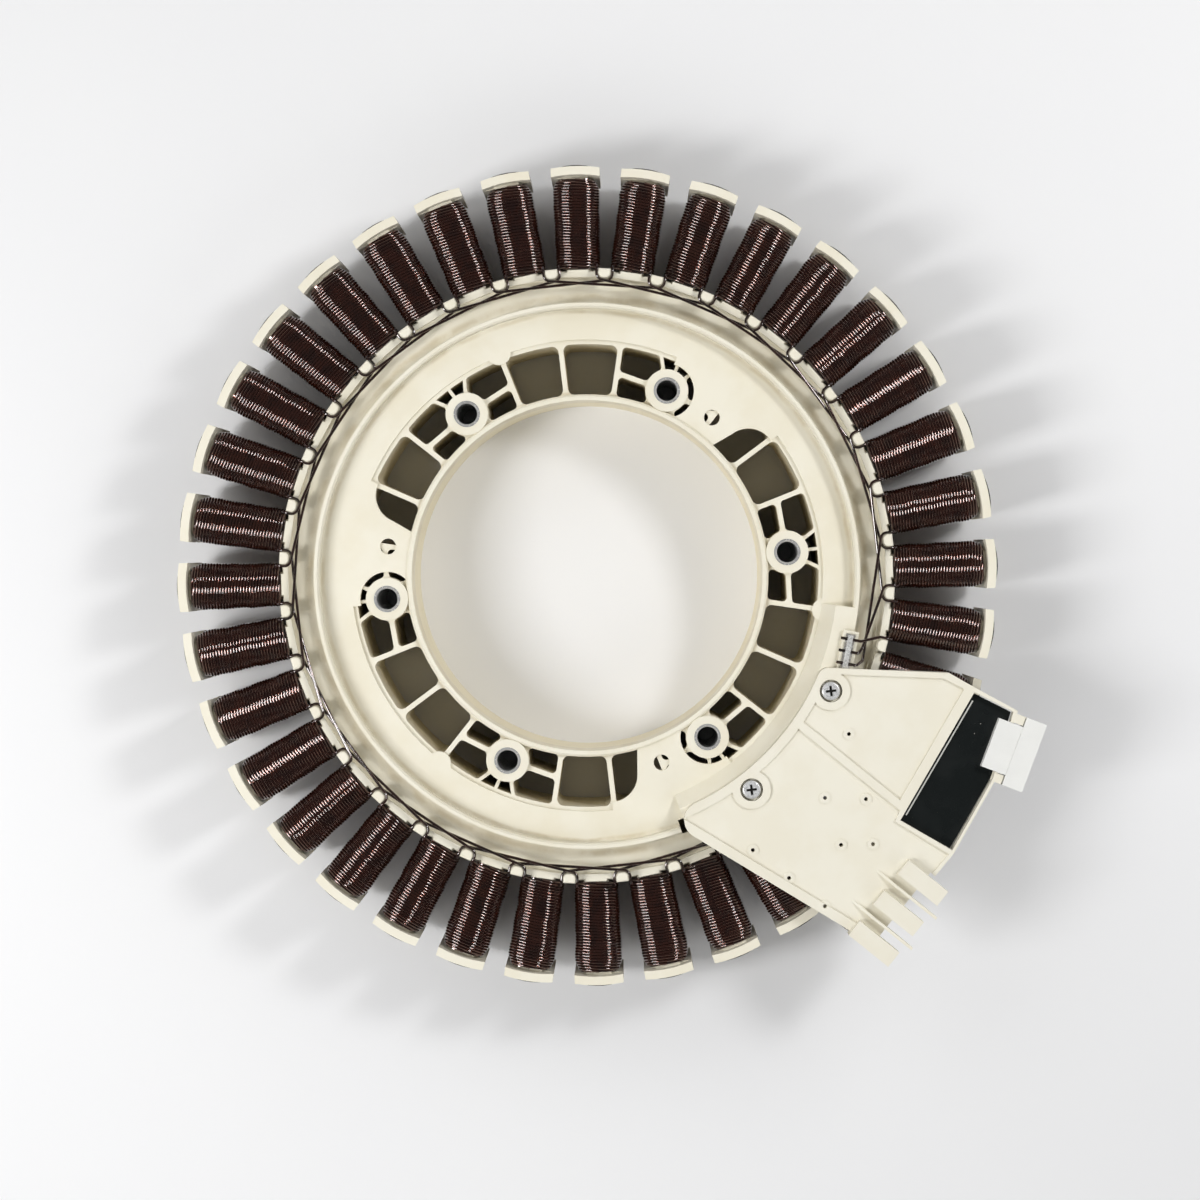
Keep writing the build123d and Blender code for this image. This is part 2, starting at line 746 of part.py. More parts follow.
def wrap_corner(angle, side):
    """Corner of a wire's route at a post's inner face, where it turns into the chord between two posts."""
    tilt = math.radians(TOOTH_PITCH * POSTS_PER_LINK / 2)
    corner_side = POST_WIDTH / 2 - POST_CORNER_R
    along = (POST_INNER_X + POST_CORNER_R) * math.cos(tilt) - corner_side * math.sin(tilt)
    x = (along - WRAP_R + WRAP_SIDE * math.sin(tilt)) / math.cos(tilt)
    return placed((x, side * WRAP_SIDE), angle)


def coil_end(index, side):
    """Where a wire meets the sloped corner of a coil beside the post on that side."""
    return placed((WIRE_END_X, side * WIRE_END_SIDE), tooth_angle(index))


def link_wire(index):
    """The wire from a coil, round two posts, to the next coil of its phase."""
    first = tooth_angle(index) + TOOTH_PITCH / 2
    second = first + TOOTH_PITCH * POSTS_PER_LINK
    points = [
        (*coil_end(index, 1), WIRE_END_Z),
        (*beside_post(first, -1, WIRE_EXIT_X), WIRE_LOW_Z),
        (*wrap_corner(first, -1), WIRE_LOW_Z),
        (*wrap_corner(second, 1), WIRE_HIGH_Z),
        (*beside_post(second, 1, WIRE_EXIT_X), WIRE_HIGH_Z),
        (*coil_end(index + COILS_PER_LINK, -1), WIRE_END_Z),
    ]
    return tube(points, [WIRE_BEND_R, WRAP_R, WRAP_R, WIRE_BEND_R])


def neutral_wire(order):
    """The wire from the neutral strip to the first coil of a phase."""
    side = STRIP_WIRE_SIDES[order]
    index = FIRST_LINK_COIL + order
    post = tooth_angle(index) - TOOTH_PITCH / 2
    points = [
        (*placed((STRIP_WIRE_INNER_X, side), NEUTRAL_ANGLE), STRIP_WIRE_Z),
        (*placed((STRIP_WIRE_OUTER_X, side), NEUTRAL_ANGLE), STRIP_WIRE_Z),
    ]
    if order == 0:
        points.append((*beside_post(post, 1, TROUGH_R), STRIP_WIRE_Z))
        points.append((*beside_post(post, 1, WIRE_EXIT_X), STRIP_WIRE_Z))
        radii = [WIRE_BEND_R, WIRE_BEND_R, WIRE_BEND_R]
    else:
        low = (STRIP_WIRE_OUTER_X + order, side + STRIP_WIRE_SHIFT)
        points.append((*placed(low, NEUTRAL_ANGLE), STRIP_WIRE_Z - order * STRIP_WIRE_STEP))
        points.append((*wrap_corner(post, 1), WIRE_HIGH_Z))
        points.append((*beside_post(post, 1, WIRE_EXIT_X), WIRE_HIGH_Z))
        radii = [WIRE_R * 2, WIRE_R * 2, WRAP_R, WIRE_BEND_R]
    points.append((*coil_end(index, -1), WIRE_END_Z))
    return tube(points, radii)


def phase_lead(order):
    """The wire from the last coil of a phase to its tab under the cover."""
    angle = tooth_angle(LEAD_COILS[order])
    side = FIRST_FINGER_SIDE - order * FINGER_PITCH
    points = [
        (*placed((LEAD_START_X, LEAD_START_SIDE), angle), LEAD_START_Z),
        (*placed((LEAD_RISE_X, LEAD_START_SIDE), angle), LEAD_Z - CLEARANCE),
        (*placed((LEAD_SPREAD_X, side), COVER_ANGLE), LEAD_Z),
        (*placed((TAB_INNER + LEAD_ON_TAB, side), COVER_ANGLE), LEAD_Z),
    ]
    return tube(points, [WIRE_BEND_R, WIRE_BEND_R])


def phase_wires(phase):
    """All the wires of one phase, each a separate solid."""
    order = PHASES.index(phase)
    wires = [neutral_wire(order)]
    for link in range(LINK_COUNT // COILS_PER_LINK):
        wires.append(link_wire(FIRST_LINK_COIL + order + link * COILS_PER_LINK - TOOTH_COUNT))
    last = (FIRST_LINK_COIL + order + LINK_COUNT) % TOOTH_COUNT
    wires.append(phase_lead(LEAD_COILS.index(last)))
    return Compound(children=[wire.solids()[0] for wire in wires])


# Terminal cover with what it holds


def cover_outline():
    """Flat outline of the cover in its own frame, with its two inner corners rounded."""
    face = (outline(COVER_EDGE) - Circle(COVER_INNER_R)).faces()[0]
    on_arc = [v for v in face.vertices() if abs(math.hypot(v.X, v.Y) - COVER_INNER_R) < FIT_GAP]
    near = max(on_arc, key=lambda v: v.Y)
    far = min(on_arc, key=lambda v: v.Y)
    face = face.fillet_2d(COVER_NEAR_CORNER, [near])
    far = min(face.vertices(), key=lambda v: abs(v.X - far.X) + abs(v.Y - far.Y))
    return Sketch() + face.fillet_2d(COVER_FAR_CORNER, [far])


def screw_circles(radius):
    """Flat circles about the two screws, in the cover's frame."""
    return [Pos(SCREW_X, side * SCREW_SIDE) * Circle(radius) for side in (1, -1)]


def cover_recesses():
    """Flat profiles of the two recessed fields of the cover's top."""
    fields = []
    for points in (RECESS_BOARD_SIDE, RECESS_TERMINAL_SIDE):
        fields.append(outline(points) - Circle(RECESS_INNER_R) - screw_circles(SCREW_COLLAR_R))
    return fields


def header_frame(shape):
    """A shape drawn along +X from the header's inner edge, put in the cover's frame."""
    return Pos(*HEADER_CENTRE, 0) * Rot(0, 0, HEADER_TURN) * shape


def cover_lugs():
    """The two lugs beside the header."""
    near = HEADER_NECK_WIDTH / 2 + CLEARANCE
    lugs = []
    for side in (-1, 1):
        edges = sorted((side * near, side * (near + LUG_WIDTH)))
        lugs.append(block(LUG_START, LUG_START + LUG_LENGTH, *edges, COVER_SKIRT_BOTTOM, COVER_TOP))
    return [header_frame(lug) for lug in lugs]


def cover_fingers():
    """The wide fingers over the phase tabs, and the thin walls between them."""
    parts = []
    for index in range(FINGER_COUNT):
        side = FIRST_FINGER_SIDE - index * FINGER_PITCH
        half = FINGER_WIDTH / 2
        parts.append(block(FINGER_START, FINGER_END, side - half, side + half, COVER_BOTTOM, FINGER_TOP))
    for index in range(FINGER_COUNT - 1):
        side = FIRST_FINGER_SIDE - (index + 0.5) * FINGER_PITCH
        shape = [
            (BLADE_START, COVER_BOTTOM),
            (BLADE_END, COVER_BOTTOM),
            (BLADE_END, BLADE_TOP),
            (BLADE_START + BLADE_RISE, BLADE_TOP),
            (BLADE_START, COVER_FLOOR),
        ]
        face = make_face(Polyline(*[(x, side + BLADE_THICKNESS / 2, z) for x, z in shape], close=True))
        parts.append(extrude(face, amount=BLADE_THICKNESS, dir=(0, -1, 0)))
    return parts


def under_slots():
    """Room in the cover's skirt for the phase tabs and for the neutral joint's holder."""
    slots = []
    half = TAB_WIDTH / 2 + FIT_GAP
    bottom = COVER_BOTTOM - TAB_THICKNESS - FIT_GAP
    for index in range(FINGER_COUNT):
        side = FIRST_FINGER_SIDE - index * FINGER_PITCH
        slots.append(block(TAB_INNER, TAB_OUTER, side - half, side + half, bottom, COVER_BOTTOM))
    half = STRIP_WIDTH / 2 + HOLDER_WALL + CLEARANCE
    last = STRIP_FIRST_END - STRIP_LENGTH - CLEARANCE
    joint = block(STRIP_X - half, STRIP_X + half, last, STRIP_FIRST_END, COVER_SKIRT_BOTTOM, COVER_BOTTOM)
    slots.append(turned(joint, NEUTRAL_ANGLE - COVER_ANGLE))
    return slots


def connector_cover():
    """The terminal cover in true position."""
    edge = cover_outline()
    body = prism(edge, COVER_BOTTOM, COVER_TOP)
    skirt = edge - offset(edge, -COVER_SKIRT) - ring(SKIRT_GAP_INNER_R, SKIRT_GAP_OUTER_R)
    body = body.cut(*[prism(field, COVER_FLOOR, COVER_TOP) for field in cover_recesses()])
    parts = [prism(face, COVER_SKIRT_BOTTOM, COVER_BOTTOM) for face in skirt.faces()]
    parts += [prism(circle, COVER_SKIRT_BOTTOM, COVER_TOP) for circle in screw_circles(SCREW_PILLAR_R)]
    ring_top = COVER_FLOOR + HOLE_RING_HEIGHT
    parts += [prism(Pos(*hole) * Circle(HOLE_RING_R), COVER_BOTTOM, ring_top) for hole in PIN_HOLES]
    parts += cover_fingers() + cover_lugs()
    body = body.fuse(*parts)
    cuts = [prism(outline(BOARD_OPENING), COVER_BOTTOM, COVER_TOP)]
    cuts += [prism(Pos(*hole) * Circle(PIN_HOLE_R), COVER_BOTTOM, FINGER_TOP) for hole in PIN_HOLES]
    cuts += [prism(circle, SCREW_SEAT_Z, FINGER_TOP) for circle in screw_circles(SCREW_POCKET_R)]
    shank_holes = screw_circles(SCREW_SHANK_R + CLEARANCE)
    cuts += [prism(circle, COVER_SKIRT_BOTTOM, FINGER_TOP) for circle in shank_holes]
    half = HEADER_NECK_WIDTH / 2 + FIT_GAP
    reach = HEADER_NECK_LENGTH + HEADER_LENGTH
    cuts.append(header_frame(block(-FIT_GAP, reach, -half, half, COVER_SKIRT_BOTTOM, FINGER_TOP)))
    cuts += under_slots()
    return turned(body.cut(*cuts), COVER_ANGLE)


def sensor_board():
    """The printed board under the cover's opening."""
    board = prism(outline(BOARD_EDGE), COVER_BOTTOM - BOARD_THICKNESS, COVER_BOTTOM)
    return turned(board, COVER_ANGLE)


def hall_sensors():
    """The three sensors under the board, each a separate solid."""
    length, width, height = SENSOR_SIZE
    top = COVER_BOTTOM - BOARD_THICKNESS
    sensors = []
    for index in range(SENSOR_COUNT):
        body = block(-length / 2, length / 2, -width / 2, width / 2, top - height, top)
        angle = SENSOR_FIRST_ANGLE - index * SENSOR_PITCH
        sensors.append(turned(Pos(SENSOR_CIRCLE_R, 0, 0) * body, angle))
    return Compound(children=[sensor.solids()[0] for sensor in sensors])


def header_pin_blocks():
    """The contact pins along +X from the header's inner edge."""
    half = HEADER_PIN_SIZE / 2
    level = (HEADER_BOTTOM + HEADER_TOP) / 2
    pins = []
    for index in range(HEADER_PIN_COUNT):
        side = (index - (HEADER_PIN_COUNT - 1) / 2) * HEADER_PIN_PITCH
        tip = HEADER_NECK_LENGTH + HEADER_LENGTH - HEADER_PIN_TIP
        foot = COVER_BOTTOM
        run = block(HEADER_PIN_START, tip, side - half, side + half, level + half, level + 3 * half)
        bend = HEADER_PIN_START + 2 * half
        leg = block(HEADER_PIN_START, bend, side - half, side + half, foot, level + 3 * half)
        pins.append(run + leg)
    return pins


def signal_header():
    """The white header: a neck on the board and a shroud that opens outwards."""
    half_neck = HEADER_NECK_WIDTH / 2
    half = HEADER_WIDTH / 2
    end = HEADER_NECK_LENGTH + HEADER_LENGTH
    body = block(0, HEADER_NECK_LENGTH + HEADER_WALL, -half_neck, half_neck, COVER_BOTTOM, HEADER_NECK_TOP)
    body += block(HEADER_NECK_LENGTH, end, -half, half, HEADER_BOTTOM, HEADER_TOP)
    inner = half - HEADER_WALL
    start = HEADER_NECK_LENGTH + HEADER_BACK
    body -= block(start, end, -inner, inner, HEADER_BOTTOM + HEADER_WALL, HEADER_TOP - HEADER_WALL)
    for pin in header_pin_blocks():
        body -= pin
    return turned(header_frame(body), COVER_ANGLE)


def header_pins():
    """The contact pins, each a separate solid."""
    pins = [turned(header_frame(pin), COVER_ANGLE) for pin in header_pin_blocks()]
    return Compound(children=[pin.solids()[0] for pin in pins])


def phase_tab(order):
    """A flat terminal tab under one finger, with its tip drawn in."""
    side = FIRST_FINGER_SIDE - order * FINGER_PITCH
    half = TAB_WIDTH / 2
    shape = [
        (TAB_INNER, side - half),
        (TAB_OUTER - TAB_TIP, side - half),
        (TAB_OUTER, side - half + TAB_TIP),
        (TAB_OUTER, side + half - TAB_TIP),
        (TAB_OUTER - TAB_TIP, side + half),
        (TAB_INNER, side + half),
    ]
    tab = prism(outline(shape), COVER_BOTTOM - TAB_THICKNESS, COVER_BOTTOM)
    return turned(tab, COVER_ANGLE)


def neutral_joint():
    """The metal strip that joins the three neutral wires."""
    half = STRIP_WIDTH / 2
    end = STRIP_FIRST_END - STRIP_LENGTH
    strip = block(STRIP_X - half, STRIP_X + half, end, STRIP_FIRST_END, CREST_Z, CREST_Z + STRIP_HEIGHT)
    for side in STRIP_WIRE_SIDES:
        strip -= wire_slot(side)
    return turned(strip, NEUTRAL_ANGLE)


def cover_screw(place):
    """A screw with a cross recess in its head."""
    bottom = SCREW_SEAT_Z - SCREW_LENGTH
    head = prism(Circle(SCREW_HEAD_R), SCREW_SEAT_Z, SCREW_SEAT_Z + SCREW_HEAD_HEIGHT)
    head = fillet(head.edges().group_by(Axis.Z)[-1], POST_ROUND)
    screw = head + prism(Circle(SCREW_SHANK_R), bottom, SCREW_SEAT_Z)
    top = SCREW_SEAT_Z + SCREW_HEAD_HEIGHT
    for turn in (0, 90):
        screw -= prism(Rot(0, 0, turn) * Rectangle(CROSS_LENGTH, CROSS_WIDTH), top - CROSS_DEPTH, top)
    return Pos(*place, 0) * screw


def cover_screws():
    """Both screws, each a separate solid."""
    return Compound(children=[cover_screw(place).solids()[0] for place in screw_places()])


def save(shape, node):
    """Writes one node's STEP file."""
    export_step(shape, f"parts/{node}.step", write_pcurves=False)


def build_all():
    """Makes every node in turn."""
    os.makedirs("parts", exist_ok=True)
    save(upper_insulator(), "upper_insulator")
    save(lower_insulator(), "lower_insulator")
    save(stator_core(), "stator_core")
    for index in range(BUSH_COUNT):
        save(bush(index), f"bush_{index + 1}")
    coil = wound_coil()
    for index in range(TOOTH_COUNT):
        save(turned(coil, tooth_angle(index)), f"coil_{index + 1:02d}")
    for phase in PHASES:
        save(phase_wires(phase), f"phase_{phase}_links")
    save(connector_cover(), "connector_cover")
    save(sensor_board(), "sensor_board")
    save(hall_sensors(), "hall_sensors")
    save(signal_header(), "signal_header")
    save(header_pins(), "header_pins")
    for order, phase in enumerate(PHASES):
        save(phase_tab(order), f"phase_tab_{phase}")
    save(neutral_joint(), "neutral_joint")
    save(cover_screws(), "cover_screws")


build_all()
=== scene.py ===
"""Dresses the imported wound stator: windings of round wire, two low bars, finishes and studio."""

from __future__ import annotations

import logging
import math
from collections.abc import Callable
from dataclasses import dataclass, field
from enum import Enum

import bpy
import numpy as np
from mathutils import Matrix, Vector

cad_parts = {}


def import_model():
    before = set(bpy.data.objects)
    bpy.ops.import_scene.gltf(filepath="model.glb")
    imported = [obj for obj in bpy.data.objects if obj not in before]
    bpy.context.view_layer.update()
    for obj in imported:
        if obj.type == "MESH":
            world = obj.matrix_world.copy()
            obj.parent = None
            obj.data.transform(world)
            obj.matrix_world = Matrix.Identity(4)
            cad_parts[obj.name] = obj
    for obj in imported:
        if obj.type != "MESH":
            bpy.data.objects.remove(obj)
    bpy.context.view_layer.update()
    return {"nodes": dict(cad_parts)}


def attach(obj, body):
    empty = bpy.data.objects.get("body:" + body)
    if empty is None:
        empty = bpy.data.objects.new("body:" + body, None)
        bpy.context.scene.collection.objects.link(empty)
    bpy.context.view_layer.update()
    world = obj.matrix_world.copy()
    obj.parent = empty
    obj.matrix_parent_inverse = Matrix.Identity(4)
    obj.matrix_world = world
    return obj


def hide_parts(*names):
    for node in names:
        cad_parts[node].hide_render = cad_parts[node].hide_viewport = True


LOG = logging.getLogger("stator")
MM = 0.001
BODY = "root"
TOOTH_COUNT = 36
TOOTH_PITCH = 360 / TOOTH_COUNT
FIRST_TOOTH = TOOTH_PITCH / 2
CORE_MIDDLE_Z = 24.0 * MM
# Angles about the bore in degrees, and heights in millimetres
COVER_ANGLE = -45.5
NEUTRAL_ANGLE = -17.7
PHOTO_TURN = -6.7
BOARD_TOP = 45.5
JOINT_TOP = 45.2
SMOOTH_ANGLE = math.radians(38)
WIRE_SMOOTH_ANGLE = math.radians(70)
# A face looks along an axis where its normal has at least this share of it
FACING = 0.9
# Heights between which nearly all of the grain pattern lies
GRAIN_RANGE = (0.3, 0.7)

Colour = tuple[float, float, float]
Sockets = dict[str, bpy.types.NodeSocket]
PickTest = Callable[[Vector, Vector], bool]


class Slot(Enum):
    """Material slots of the record; the low bars name one, but nothing reads it."""

    WIRE = "enamelled_wire"
    CREAM = "cream_plastic"
    TIN = "tinned_metal"


class Effect(Enum):
    """Names of the shared shader groups."""

    MOTTLE = "moulding mottle"
    BAND = "ring band mask"
    SHEETS = "sheet edge lines"
    BRUSH = "fine brush marks"


class Graph:
    """Adds and links nodes in one shader tree."""

    def __init__(self, tree: bpy.types.NodeTree) -> None:
        """Keeps the tree to build in.

        Args:
            tree: The material's or group's node tree.
        """
        self.tree = tree

    def add(self, kind: str, **values: object) -> bpy.types.Node:
        """Adds a node.

        Args:
            kind: The node's type name.
            values: Attributes of the node.

        Returns:
            The new node.
        """
        node = self.tree.nodes.new(kind)
        for name, value in values.items():
            setattr(node, name, value)
        return node

    def feed(self, socket: bpy.types.NodeSocket, value: object) -> None:
        """Links a socket to an input, or sets the input's own value.

        Args:
            socket: The input socket.
            value: An output socket, a number or a colour.
        """
        if isinstance(value, bpy.types.NodeSocket):
            self.tree.links.new(value, socket)
        elif isinstance(value, tuple) and len(value) == 3 and socket.type == "RGBA":
            socket.default_value = (*value, 1.0)
        else:
            socket.default_value = value

    def math(self, operation: str, a: object, b: object = 0.0) -> bpy.types.NodeSocket:
        """Adds a Math node.

        Args:
            operation: The node's operation.
            a: First number or socket.
            b: Second number or socket.

        Returns:
            The result's socket.
        """
        node = self.add("ShaderNodeMath", operation=operation)
        self.feed(node.inputs[0], a)
        self.feed(node.inputs[1], b)
        return node.outputs[0]

    def spread(
        self, value: object, low: object, high: object, start: object = 0.0, end: object = 1.0
    ) -> bpy.types.NodeSocket:
        """Maps a value smoothly from one range to another.

        Args:
            value: The value to map.
            low: The value that gives start.
            high: The value that gives end.
            start: Result at low.
            end: Result at high.

        Returns:
            The result's socket.
        """
        node = self.add("ShaderNodeMapRange", interpolation_type="SMOOTHSTEP")
        for socket, number in zip(node.inputs[:5], (value, low, high, start, end)):
            self.feed(socket, number)
        return node.outputs[0]

    def grained(self, height: object, low: float, high: float) -> bpy.types.NodeSocket:
        """Turns the height of a grain pattern into a roughness.

        Args:
            height: The grain's height.
            low: Roughness at the grain's lowest places.
            high: Roughness at its highest places.

        Returns:
            The roughness's socket.
        """
        return self.spread(height, *GRAIN_RANGE, low, high)

    def noise(
        self, vector: object, scale: object, detail: float = 3.0, rough: float = 0.55
    ) -> bpy.types.NodeSocket:
        """Adds a noise pattern.

        Args:
            vector: Where the pattern is read.
            scale: Pattern cells per metre.
            detail: Octaves of the noise.
            rough: Strength of the finer octaves.

        Returns:
            The noise value's socket.
        """
        node = self.add("ShaderNodeTexNoise")
        self.feed(node.inputs["Vector"], vector)
        self.feed(node.inputs["Scale"], scale)
        node.inputs["Detail"].default_value = detail
        node.inputs["Roughness"].default_value = rough
        return node.outputs["Fac"]

    def blend(self, share: object, first: object, second: object) -> bpy.types.NodeSocket:
        """Mixes two colours.

        Args:
            share: Share of the second colour.
            first: First colour or socket.
            second: Second colour or socket.

        Returns:
            The mixed colour's socket.
        """
        node = self.add("ShaderNodeMix", data_type="RGBA")
        self.feed(node.inputs["Factor"], share)
        self.feed(node.inputs[6], first)
        self.feed(node.inputs[7], second)
        return node.outputs[2]

    def place(self) -> bpy.types.NodeSocket:
        """The object coordinates of the surface."""
        return self.add("ShaderNodeTexCoord").outputs["Object"]

    def effect(self, kind: Effect, **inputs: object) -> bpy.types.Node:
        """Places a shared group in this tree.

        Args:
            kind: Which group.
            inputs: Values or sockets for the group's inputs, with spaces as underscores.

        Returns:
            The group node.
        """
        node = self.add("ShaderNodeGroup")
        node.node_tree = bpy.data.node_groups[kind.value]
        for name, value in inputs.items():
            self.feed(node.inputs[name.replace("_", " ")], value)
        return node


@dataclass(frozen=True)
class EffectShelf:
    """Builds the shared shader groups once."""

    cloud_range: tuple[float, float] = (0.38, 0.66)
    cloud_detail: float = 4.0
    grain_detail: float = 2.0
    wander_scale: float = 90.0
    ceiling_fade: float = 0.6 * MM
    line_range: tuple[float, float] = (0.32, 0.5)
    mark_stretch: float = 9.0
    mark_detail: float = 4.0
    mark_rough: float = 0.7
    mark_range: tuple[float, float] = (0.35, 0.7)

    def group(
        self, kind: Effect, inputs: dict[str, str], outputs: list[str]
    ) -> tuple[Graph, Sockets, Sockets]:
        """Starts a group with its sockets.

        Args:
            kind: Which group.
            inputs: Input names with their socket types.
            outputs: Names of the float outputs.

        Returns:
            The graph, the sockets that bring inputs, and the sockets that take outputs.
        """
        tree = bpy.data.node_groups.new(kind.value, "ShaderNodeTree")
        for name, socket in inputs.items():
            tree.interface.new_socket(name, in_out="INPUT", socket_type=socket)
        for name in outputs:
            tree.interface.new_socket(name, in_out="OUTPUT", socket_type="NodeSocketFloat")
        graph = Graph(tree)
        enter = graph.add("NodeGroupInput")
        leave = graph.add("NodeGroupOutput")
        brought = {name: enter.outputs[name] for name in inputs}
        taken = {name: leave.inputs[name] for name in outputs}
        return graph, brought, taken

    def mottle(self) -> None:
        """Cloudy colour change and fine grain of moulded plastic."""
        sockets = {
            "Vector": "NodeSocketVector",
            "Cloud": "NodeSocketFloat",
            "Grain": "NodeSocketFloat",
        }
        graph, brought, taken = self.group(Effect.MOTTLE, sockets, ["Mask", "Height"])
        cloud = graph.noise(brought["Vector"], brought["Cloud"], self.cloud_detail)
        grain = graph.noise(brought["Vector"], brought["Grain"], self.grain_detail)
        graph.feed(taken["Mask"], graph.spread(cloud, *self.cloud_range))
        graph.feed(taken["Height"], grain)

    def band(self) -> None:
        """A ragged ring-shaped mask about the bore axis, below a given height."""
        sockets = {
            "Vector": "NodeSocketVector",
            "Radius": "NodeSocketFloat",
            "Width": "NodeSocketFloat",
            "Ragged": "NodeSocketFloat",
            "Ceiling": "NodeSocketFloat",
        }
        graph, brought, taken = self.group(Effect.BAND, sockets, ["Mask"])
        split = graph.add("ShaderNodeSeparateXYZ")
        graph.feed(split.inputs[0], brought["Vector"])
        squares = [graph.math("MULTIPLY", split.outputs[i], split.outputs[i]) for i in range(2)]
        radius = graph.math("SQRT", graph.math("ADD", *squares))
        wander = graph.math("SUBTRACT", graph.noise(brought["Vector"], self.wander_scale), 0.5)
        shifted = graph.math("ADD", radius, graph.math("MULTIPLY", wander, brought["Ragged"]))
        away = graph.math("ABSOLUTE", graph.math("SUBTRACT", shifted, brought["Radius"]))
        near = graph.spread(away, 0.0, brought["Width"], 1.0, 0.0)
        fade_start = graph.math("SUBTRACT", brought["Ceiling"], self.ceiling_fade)
        below = graph.spread(split.outputs[2], fade_start, brought["Ceiling"], 1.0, 0.0)
        graph.feed(taken["Mask"], graph.math("MULTIPLY", near, below))

    def sheets(self) -> None:
        """Thin lines between stacked sheets."""
        sockets = {"Vector": "NodeSocketVector", "Pitch": "NodeSocketFloat"}
        graph, brought, taken = self.group(Effect.SHEETS, sockets, ["Line", "Tone"])
        split = graph.add("ShaderNodeSeparateXYZ")
        graph.feed(split.inputs[0], brought["Vector"])
        count = graph.math("DIVIDE", split.outputs[2], brought["Pitch"])
        phase = graph.math("FRACT", count)
        from_middle = graph.math("ABSOLUTE", graph.math("SUBTRACT", phase, 0.5))
        graph.feed(taken["Line"], graph.spread(from_middle, *self.line_range, 1.0, 0.0))
        white = graph.add("ShaderNodeTexWhiteNoise", noise_dimensions="1D")
        graph.feed(white.inputs["W"], graph.math("FLOOR", count))
        graph.feed(taken["Tone"], white.outputs["Value"])

    def brush(self) -> None:
        """Fine marks drawn out along one direction."""
        sockets = {"Vector": "NodeSocketVector", "Scale": "NodeSocketFloat"}
        graph, brought, taken = self.group(Effect.BRUSH, sockets, ["Mask", "Height"])
        stretch = graph.add("ShaderNodeMapping")
        stretch.inputs["Scale"].default_value = (1.0, 1.0, self.mark_stretch)
        graph.feed(stretch.inputs["Vector"], brought["Vector"])
        marks = graph.noise(
            stretch.outputs[0], brought["Scale"], self.mark_detail, self.mark_rough
        )
        graph.feed(taken["Mask"], graph.spread(marks, *self.mark_range))
        graph.feed(taken["Height"], marks)

    def build(self) -> None:
        """Builds every group."""
        for make in (self.mottle, self.band, self.sheets, self.brush):
            make()


def new_material(name: str) -> tuple[bpy.types.Material, Graph, bpy.types.Node]:
    """Starts a material with one Principled shader.

    Args:
        name: The finish's name.

    Returns:
        The material, its graph and the shader node.
    """
    material = bpy.data.materials.new(name)
    material.use_nodes = True
    graph = Graph(material.node_tree)
    shader = next(n for n in material.node_tree.nodes if n.type == "BSDF_PRINCIPLED")
    return material, graph, shader


def add_bump(
    graph: Graph, shader: bpy.types.Node, height: object, strength: float, depth: float
) -> None:
    """Gives a shader a bump.

    Args:
        graph: The material's graph.
        shader: The shader node.
        height: The height's socket.
        strength: The bump's strength.
        depth: The bump's depth in metres.
    """
    bump = graph.add("ShaderNodeBump")
    bump.inputs["Strength"].default_value = strength
    bump.inputs["Distance"].default_value = depth
    graph.feed(bump.inputs["Height"], height)
    graph.feed(shader.inputs["Normal"], bump.outputs[0])


@dataclass(frozen=True)
class ShadeRing:
    """A ring of painted shade about the bore axis, in millimetres."""

    radius: float
    width: float
    ragged: float
    ceiling: float
    strength: float


@dataclass(frozen=True)
class Moulding:
    """Satin moulded plastic with cloudy tone and rings of painted shade at its creases."""

    name: str
    colour: Colour
    cloud_colour: Colour
    ring_shade_colour: Colour = (0.42, 0.31, 0.13)
    cloud: float = 55.0
    grain: float = 2600.0
    rough_low: float = 0.36
    rough_high: float = 0.50
    cloud_share: float = 0.45
    shade_rings: tuple[ShadeRing, ...] = ()
    patch_scale: float = 130.0
    patch_detail: float = 4.0
    patch_range: tuple[float, float] = (0.36, 0.62)
    patch_least: float = 0.35
    grain_strength: float = 0.12
    grain_depth: float = 0.06 * MM

    def material(self) -> bpy.types.Material:
        """Builds the finish.

        Returns:
            The material.
        """
        material, graph, shader = new_material(self.name)
        place = graph.place()
        mottle = graph.effect(Effect.MOTTLE, Vector=place, Cloud=self.cloud, Grain=self.grain)
        share = graph.math("MULTIPLY", mottle.outputs["Mask"], self.cloud_share)
        colour = graph.blend(share, self.colour, self.cloud_colour)
        # Each ring blends painted shade into the colour: patchy, and only below its ceiling.
        for shade_ring in self.shade_rings:
            band = graph.effect(
                Effect.BAND,
                Vector=place,
                Radius=shade_ring.radius * MM,
                Width=shade_ring.width * MM,
                Ragged=shade_ring.ragged * MM,
                Ceiling=shade_ring.ceiling * MM,
            )
            patches = graph.noise(place, self.patch_scale, self.patch_detail)
            patchy = graph.spread(patches, *self.patch_range, self.patch_least, 1.0)
            strength = graph.math("MULTIPLY", patchy, shade_ring.strength)
            shade_amount = graph.math("MULTIPLY", band.outputs["Mask"], strength)
            colour = graph.blend(shade_amount, colour, self.ring_shade_colour)
        height = mottle.outputs["Height"]
        rough = graph.grained(height, self.rough_low, self.rough_high)
        graph.feed(shader.inputs["Base Color"], colour)
        graph.feed(shader.inputs["Roughness"], rough)
        add_bump(graph, shader, height, self.grain_strength, self.grain_depth)
        return material


